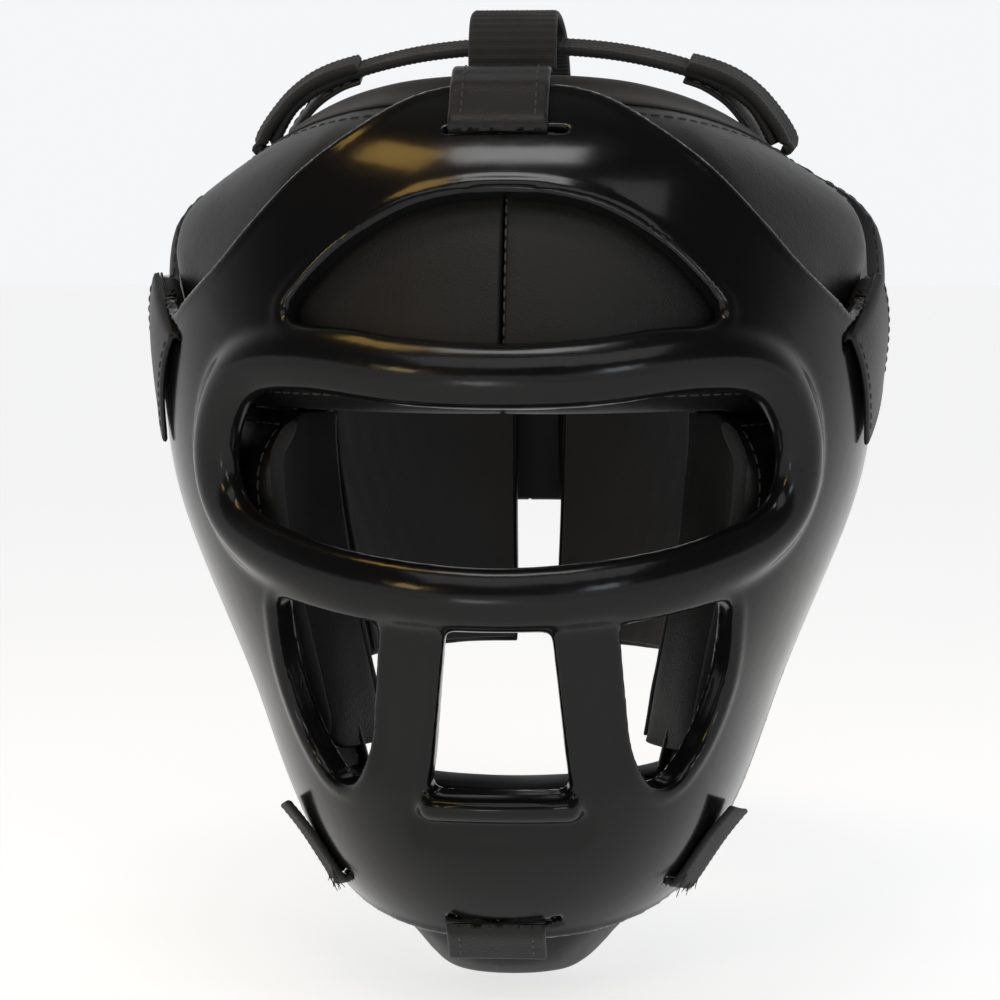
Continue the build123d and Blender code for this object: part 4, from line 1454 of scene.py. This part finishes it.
# crown webbing: x, z from the middle outward, and y, z from front to back
CROWN_Y, CROWN_LEAN = -8.0, 0.2
CROWN_HALF = ((0, 273.0), (30, 271.0), (56, 264.5), (72, 255.5), (80, 242.5))
CROWN_TAIL = (
    (52, 267.7), (60, 265.4), (67, 262.2), (73.5, 257.2), (79.2, 250.4), (82.8, 244.6), (83.4, 240.8),
    (81.3, 240.6),
)
CROWN_ANCHOR = ((51, 263.6), (58, 261.0), (66, 255.4), (72.5, 247.0), (75.5, 239.5))
CROWN_FRONT = (
    (-69, 261.5), (-68, 270.0), (-61, 277.0), (-45, 279.5), (-15, 279.5), (20, 275.0),
    (60, 257.0), (88, 238.0), (106, 225.0), (117, 211.0), (121.5, 196.0),
)
CLOSURE_LEVEL, CLOSURE_WIDTH, CLOSURE_OUT = 145.0, 54.0, 2.6
CLOSURE_STITCHED = (-23.6, 0.0, 23.6)
LABEL_START, LABEL_END, LABEL_HALF_HEIGHT, LABEL_OUT = 151.0, 171.0, 12.0, 5.05


def build_tabs():
    """Leather tabs at the top and chin slots, each with its hidden fixed end."""
    tabs = (("top", TOP_TAB, OVER_RIM, 3.0, 9.5), ("chin", CHIN_TAB, (), 2.0, 8.0))
    for name, stations, beyond, end_gap, reach_in in tabs:
        joint = f"{name}_tab_peel"
        spot, run, _, normal = strap_frame(joint)
        points = [spot + run * along + normal * height + TAB_SHIFT for along, height in stations]
        outward = [run * 0.9 + normal * 0.3] + [normal] * (len(stations) - 1)
        for y, z, out_y, out_z in beyond:
            points.append(np.array((TAB_SHIFT[0], y, z)))
            outward.append(np.array((0.0, out_y, out_z)))
        strap_piece(f"{name}_tab", f"{name}_flap", "strap_leather", [f"{name}_tab_flap"], points, outward,
                    28.5, 1.7, stitched=(-10.8, 10.8), ends=(5.0, end_gap), rows=22)
        strap_piece(f"{name}_tab_fixed_end", "grill", "strap_leather", [f"{name}_tab_base"],
                    *under_path(joint, reach_in), 27.5, 1.3)


def frayed_ends(end, before, normal, width, seed):
    """Loose threads at the end of a webbing strap that comes from before."""
    rng = random.Random(seed)
    direction = (end - before) / np.linalg.norm(end - before)
    across = np.cross(direction, normal)
    parts = []
    for _ in range(16):
        spot = end + across * rng.uniform(-0.48, 0.48) * width - direction * 0.8
        length = rng.uniform(2.0, 7.0)
        bend = across * rng.uniform(-2.0, 2.0) + normal * rng.uniform(-1.5, 2.0)
        line = [spot + direction * length * t + bend * t * t for t in (0.0, 0.3, 0.55, 0.8, 1.0)]
        parts.append(tube(line, (0.17, 0.17, 0.16, 0.14, 0.1), 5))
    return merge(parts)


def build_side_straps():
    """Leather temple straps and webbing jaw straps, each with its hidden fixed end."""
    for index, side in enumerate(("left", "right")):
        joint = f"temple_strap_{side}_peel"
        path, outward = local_path(joint, TEMPLE_STRAP)
        outward[0] = outward[1]
        strap_piece(f"temple_strap_{side}", f"temple_tail_{side}", "strap_leather",
                    [f"temple_strap_tail_{side}"], path, outward, 36.5, 1.7,
                    stitched=(-15.4, 15.4), ends=(4.0, 3.0), rows=28, hug=True)
        strap_piece(f"temple_strap_fixed_end_{side}", "grill", "strap_leather",
                    [f"temple_strap_base_{side}"], *under_path(joint, 9.0), 35.5, 1.3)
        joint = f"jaw_strap_{side}_peel"
        path, outward = local_path(joint, JAW_STRAP)
        outward[0] = outward[1]
        body = f"jaw_tail_{side}"
        strap_piece(f"jaw_strap_{side}", body, "webbing", [f"jaw_strap_tail_{side}"], path, outward,
                    24.5, 1.9, rows=40, step=0.45, ribs=crosswise(1.9, 0.16), hug=True)
        # the threads hang from the end beside the slot, so they run back along the strap
        threads = frayed_ends(path[3] + outward[3] * 0.6, path[4], outward[3], 24.0, 11 + index)
        attach(new_object(f"jaw_strap_threads_{side}", *threads), body, "webbing", finish=THREAD)
        strap_piece(f"jaw_strap_fixed_end_{side}", "grill", "webbing", [f"jaw_strap_base_{side}"],
                    *under_path(joint, 9.0), 23.5, 1.3)


def upright(path, plane, lean=0.0):
    """Outward directions of a strap that lies over the head, leaning forward by a slope."""
    path = np.asarray(path, float)
    tangent = np.gradient(path, axis=0)
    normals = np.cross(plane, tangent)
    normals[(normals * (path - np.array((0.0, 0.0, 190.0)))).sum(axis=1) < 0] *= -1.0
    normals /= np.linalg.norm(normals, axis=1)[:, None]
    return normals + np.array((0.0, -lean, 0.0))


def build_crown():
    """Webbing over the crown: side to side, its folded tails and anchors, and front to back."""
    across = (0.0, 1.0, 0.0)
    path = [(-x, CROWN_Y, z) for x, z in CROWN_HALF[:0:-1]] + [(x, CROWN_Y, z) for x, z in CROWN_HALF]
    strap_piece("crown_side_webbing", "guard", "webbing", ["crown_strap_side"], path,
                upright(path, across, CROWN_LEAN), 25.0, 2.0, rows=46, step=0.55,
                ribs=lengthwise(4, 25.0, 0.5))
    for side, name in SIDES:
        path = [(side * x, CROWN_Y - 1.0, z) for x, z in CROWN_TAIL]
        outward = upright(path, across, CROWN_LEAN)
        # the last two stations turn under
        outward[-1] = (side * -0.6, 0.0, -0.8)
        outward[-2] = (side * 0.3, 0.0, -0.8)
        strap_piece(f"crown_webbing_tail_{name}", f"crown_tail_{name}", "webbing",
                    [f"crown_strap_tail_{name}"], path, outward, 26.0, 2.6, rows=44, step=0.55,
                    ribs=lengthwise(4, 26.0, 0.5))
        path = [(side * x, CROWN_Y, z) for x, z in CROWN_ANCHOR]
        strap_piece(f"crown_strap_anchor_{name}", "guard", "strap_leather", [f"crown_anchor_{name}"], path,
                    upright(path, across, CROWN_LEAN), 30.0, 1.5, stitched=(-12.4, 12.4), rows=20)
    path = [(0.0, y, z) for y, z in CROWN_FRONT]
    strap_piece("crown_front_webbing", "guard", "webbing", ["crown_strap_front_back"], path,
                upright(path, (1.0, 0.0, 0.0)), 26.0, 2.0, rows=40, step=0.5, ribs=crosswise(2.6, 0.36))


def round_back(start, end, level, out):
    """Path around the back between two angles in degrees, at a height over the rear pads."""
    phi = np.radians(np.linspace(start, end, 14))
    radius = head_radius(phi, CLOSURE_LEVEL) + REAR_THICKNESS + 1.2 + out
    return place(radius, phi, np.full(14, level)), place(np.ones(14), phi, np.zeros(14))


def build_rear():
    """Rear closure strap with its tail, backing and pile patch, and the blank label."""
    path = round_back(141.0, 182.0, CLOSURE_LEVEL, CLOSURE_OUT)
    strap_piece("rear_closure_strap", "guard", "strap_leather", ["rear_strap"], *path, CLOSURE_WIDTH, 2.5,
                stitched=CLOSURE_STITCHED, rows=34, ends=(3.0, 3.0))
    path = round_back(182.4, 214.0, CLOSURE_LEVEL, CLOSURE_OUT)
    strap_piece("rear_closure_tail", "rear_tail", "strap_leather", ["rear_strap_tail"], *path,
                CLOSURE_WIDTH, 2.5, stitched=CLOSURE_STITCHED, rows=34, ends=(3.0, 3.0))
    path = round_back(177.0, 187.4, CLOSURE_LEVEL, 0.55)
    strap_piece("rear_closure_backing", "guard", "strap_leather", [], *path, 53.0, 1.0, rows=20)
    path = round_back(188.0, 212.0, CLOSURE_LEVEL, 0.5)
    strap_piece("rear_pile_patch", "guard", "hook_and_loop", ["rear_loop_patch"], *path, 42.0, 1.1, rows=20)
    path = round_back(148.5, 173.5, CLOSURE_LEVEL, 4.6)
    strap_piece("blank_label", "guard", "label", ["rear_label"], *path, 33.0, 0.8, rows=20, step=1.0)
    low, high = CLOSURE_LEVEL - LABEL_HALF_HEIGHT, CLOSURE_LEVEL + LABEL_HALF_HEIGHT
    lines = []
    for level in (low, high):
        spots, _ = round_back(LABEL_START, LABEL_END, level, LABEL_OUT)
        lines.append(tube(spots, 0.5, 6))
    for angle in (LABEL_START, LABEL_END):
        phi = math.radians(angle)
        radius = float(head_radius(phi, CLOSURE_LEVEL)) + REAR_THICKNESS + 1.2 + LABEL_OUT
        spots = [place(radius, phi, z) for z in np.linspace(low, high, 9)]
        lines.append(tube(spots, 0.5, 6))
    attach(new_object("label_border_line", *merge(lines)), "guard", "label", finish=LABEL_LINE)


def build_chin_links():
    """Short leather straps inside the padding that join the chin pad to the cheek pads."""
    for side, name in SIDES:
        phi = math.radians(side * CHIN_LINK_ANGLE)
        out = np.array((math.sin(phi), -math.cos(phi), 0.0))
        levels = np.linspace(CHIN_LINK_TOP, CHIN_LINK_BOTTOM, 8)
        inner = head_radius(phi, levels)
        outer = guard_radius(phi, levels)
        path = [place(0.5 * (a + b), phi, z) for a, b, z in zip(inner, outer, levels)]
        strap_piece(f"chin_link_{name}", "guard", "strap_leather", [], path, [out] * len(path), 22.0, 3.0,
                    stitched=(-8.6, 8.6), ends=(14.0, 14.0), rows=18)


def build_face_binding(probe):
    """Rolled binding down the cheek pads' inner edges, beside the face opening."""
    for side, name in SIDES:
        seam = probe.along(sweep_levels(side * (CHEEK_INNER_EDGE + 0.9), 62.5, 161.0))
        piping(f"cheek_edge_binding_{name}", *seam, 2.1, -0.9, "binding", f"face_binding_{name}")


# ------------------------------------------------------------ camera and lights
CAMERA_TARGET = Vector((-0.008, 0.0, 0.1286))
CAMERA_AZIMUTH, CAMERA_ELEVATION, CAMERA_DISTANCE, CAMERA_LENS = 3.6, 5.0, 0.9, 100.4
FLOOR_HALF, FLOOR_LEVEL = 20000.0, -11.0
# name, location in metres, size, height, power, colour
LIGHTS = (
    ("key", (-0.02, -0.30, 0.98), 0.24, 0.13, 0.9, (1.0, 1.0, 1.0)),
    ("soft_top", (0.1, -0.8, 1.0), 0.9, 0.5, 2.2, (1.0, 1.0, 1.0)),
    ("warm_reflector", (-0.26, -0.27, 0.95), 0.2, 0.16, 0.8, (1.0, 0.62, 0.16)),
    ("front_fill", (0.45, -1.1, 0.45), 0.2, 0.2, 0.8, (0.85, 0.92, 1.0)),
    ("warm_front", (-0.45, -1.05, 0.5), 0.16, 0.16, 0.9, (1.0, 0.72, 0.3)),
    ("low_glint", (-0.12, -1.0, 0.05), 0.12, 0.12, 0.25, (1.0, 1.0, 1.0)),
)


def aim(obj):
    """Turn a camera or light toward the target."""
    obj.rotation_euler = (Vector(obj.location) - CAMERA_TARGET).to_track_quat("Z", "Y").to_euler()


def build_camera():
    data = bpy.data.cameras.new("camera")
    camera = bpy.data.objects.new("camera", data)
    bpy.context.scene.collection.objects.link(camera)
    azimuth, elevation = math.radians(CAMERA_AZIMUTH), math.radians(CAMERA_ELEVATION)
    level = math.cos(elevation)
    camera.location = CAMERA_TARGET + CAMERA_DISTANCE * Vector((
        math.sin(azimuth) * level, -math.cos(azimuth) * level, math.sin(elevation),
    ))
    aim(camera)
    data.lens = CAMERA_LENS
    data.dof.use_dof = False
    bpy.context.scene.camera = camera


def build_lights():
    for name, location, size, height, power, color in LIGHTS:
        data = bpy.data.lights.new(name, "AREA")
        data.shape = "RECTANGLE"
        data.size = size
        data.size_y = height
        data.energy = power
        data.color = color
        light = bpy.data.objects.new(name, data)
        light.location = location
        bpy.context.scene.collection.objects.link(light)
        aim(light)


def build_room():
    """White floor and surroundings, dark toward the viewer."""
    square = ((-1, -1), (1, -1), (1, 1), (-1, 1))
    floor = new_object("floor", [(FLOOR_HALF * x, FLOOR_HALF * y, FLOOR_LEVEL) for x, y in square],
                       [(0, 1, 2, 3)], smooth=False)
    floor.data.materials.append(material("paper", (0.6, 0.6, 0.6), 0.9, Emission_Color=(1.0, 1.0, 1.0, 1.0),
                                         Emission_Strength=0.7, IOR=1.1))
    world = bpy.data.worlds.new("studio")
    world.use_nodes = True
    graph = NodeGraph(world.node_tree, "Generated")
    split = graph.nodes.new("ShaderNodeSeparateXYZ")
    graph.links.new(graph.vector, split.inputs["Vector"])
    # y - 0.75 z: bright behind the object and below, dark toward the viewer and above
    slant = graph.nodes.new("ShaderNodeMath")
    slant.operation = "MULTIPLY_ADD"
    slant.inputs[1].default_value = -0.75
    graph.links.new(split.outputs["Z"], slant.inputs[0])
    graph.links.new(split.outputs["Y"], slant.inputs[2])
    shade = graph.ramp(slant.outputs["Value"], -0.75, 0.42, 0.035, 0.94, soft=True)
    horizon = graph.ramp(split.outputs["Z"], 0.16, 0.26, 0.94, 0.0)
    background = graph.nodes["Background"]
    background.inputs["Color"].default_value = (0.97, 0.98, 1.0, 1.0)
    graph.links.new(graph.math("MAXIMUM", shade, horizon), background.inputs["Strength"])
    bpy.context.scene.world = world


# ------------------------------------------------------------------------ make
bpy.context.scene.view_settings.view_transform = "Standard"
build_camera()
build_room()
build_lights()
build_grill()
pads = build_pads()
build_linings()
probe = Probe(list(pads.values()))
build_seams(probe)
build_chin_links()
build_face_binding(probe)
build_tabs()
build_side_straps()
build_crown()
build_rear()
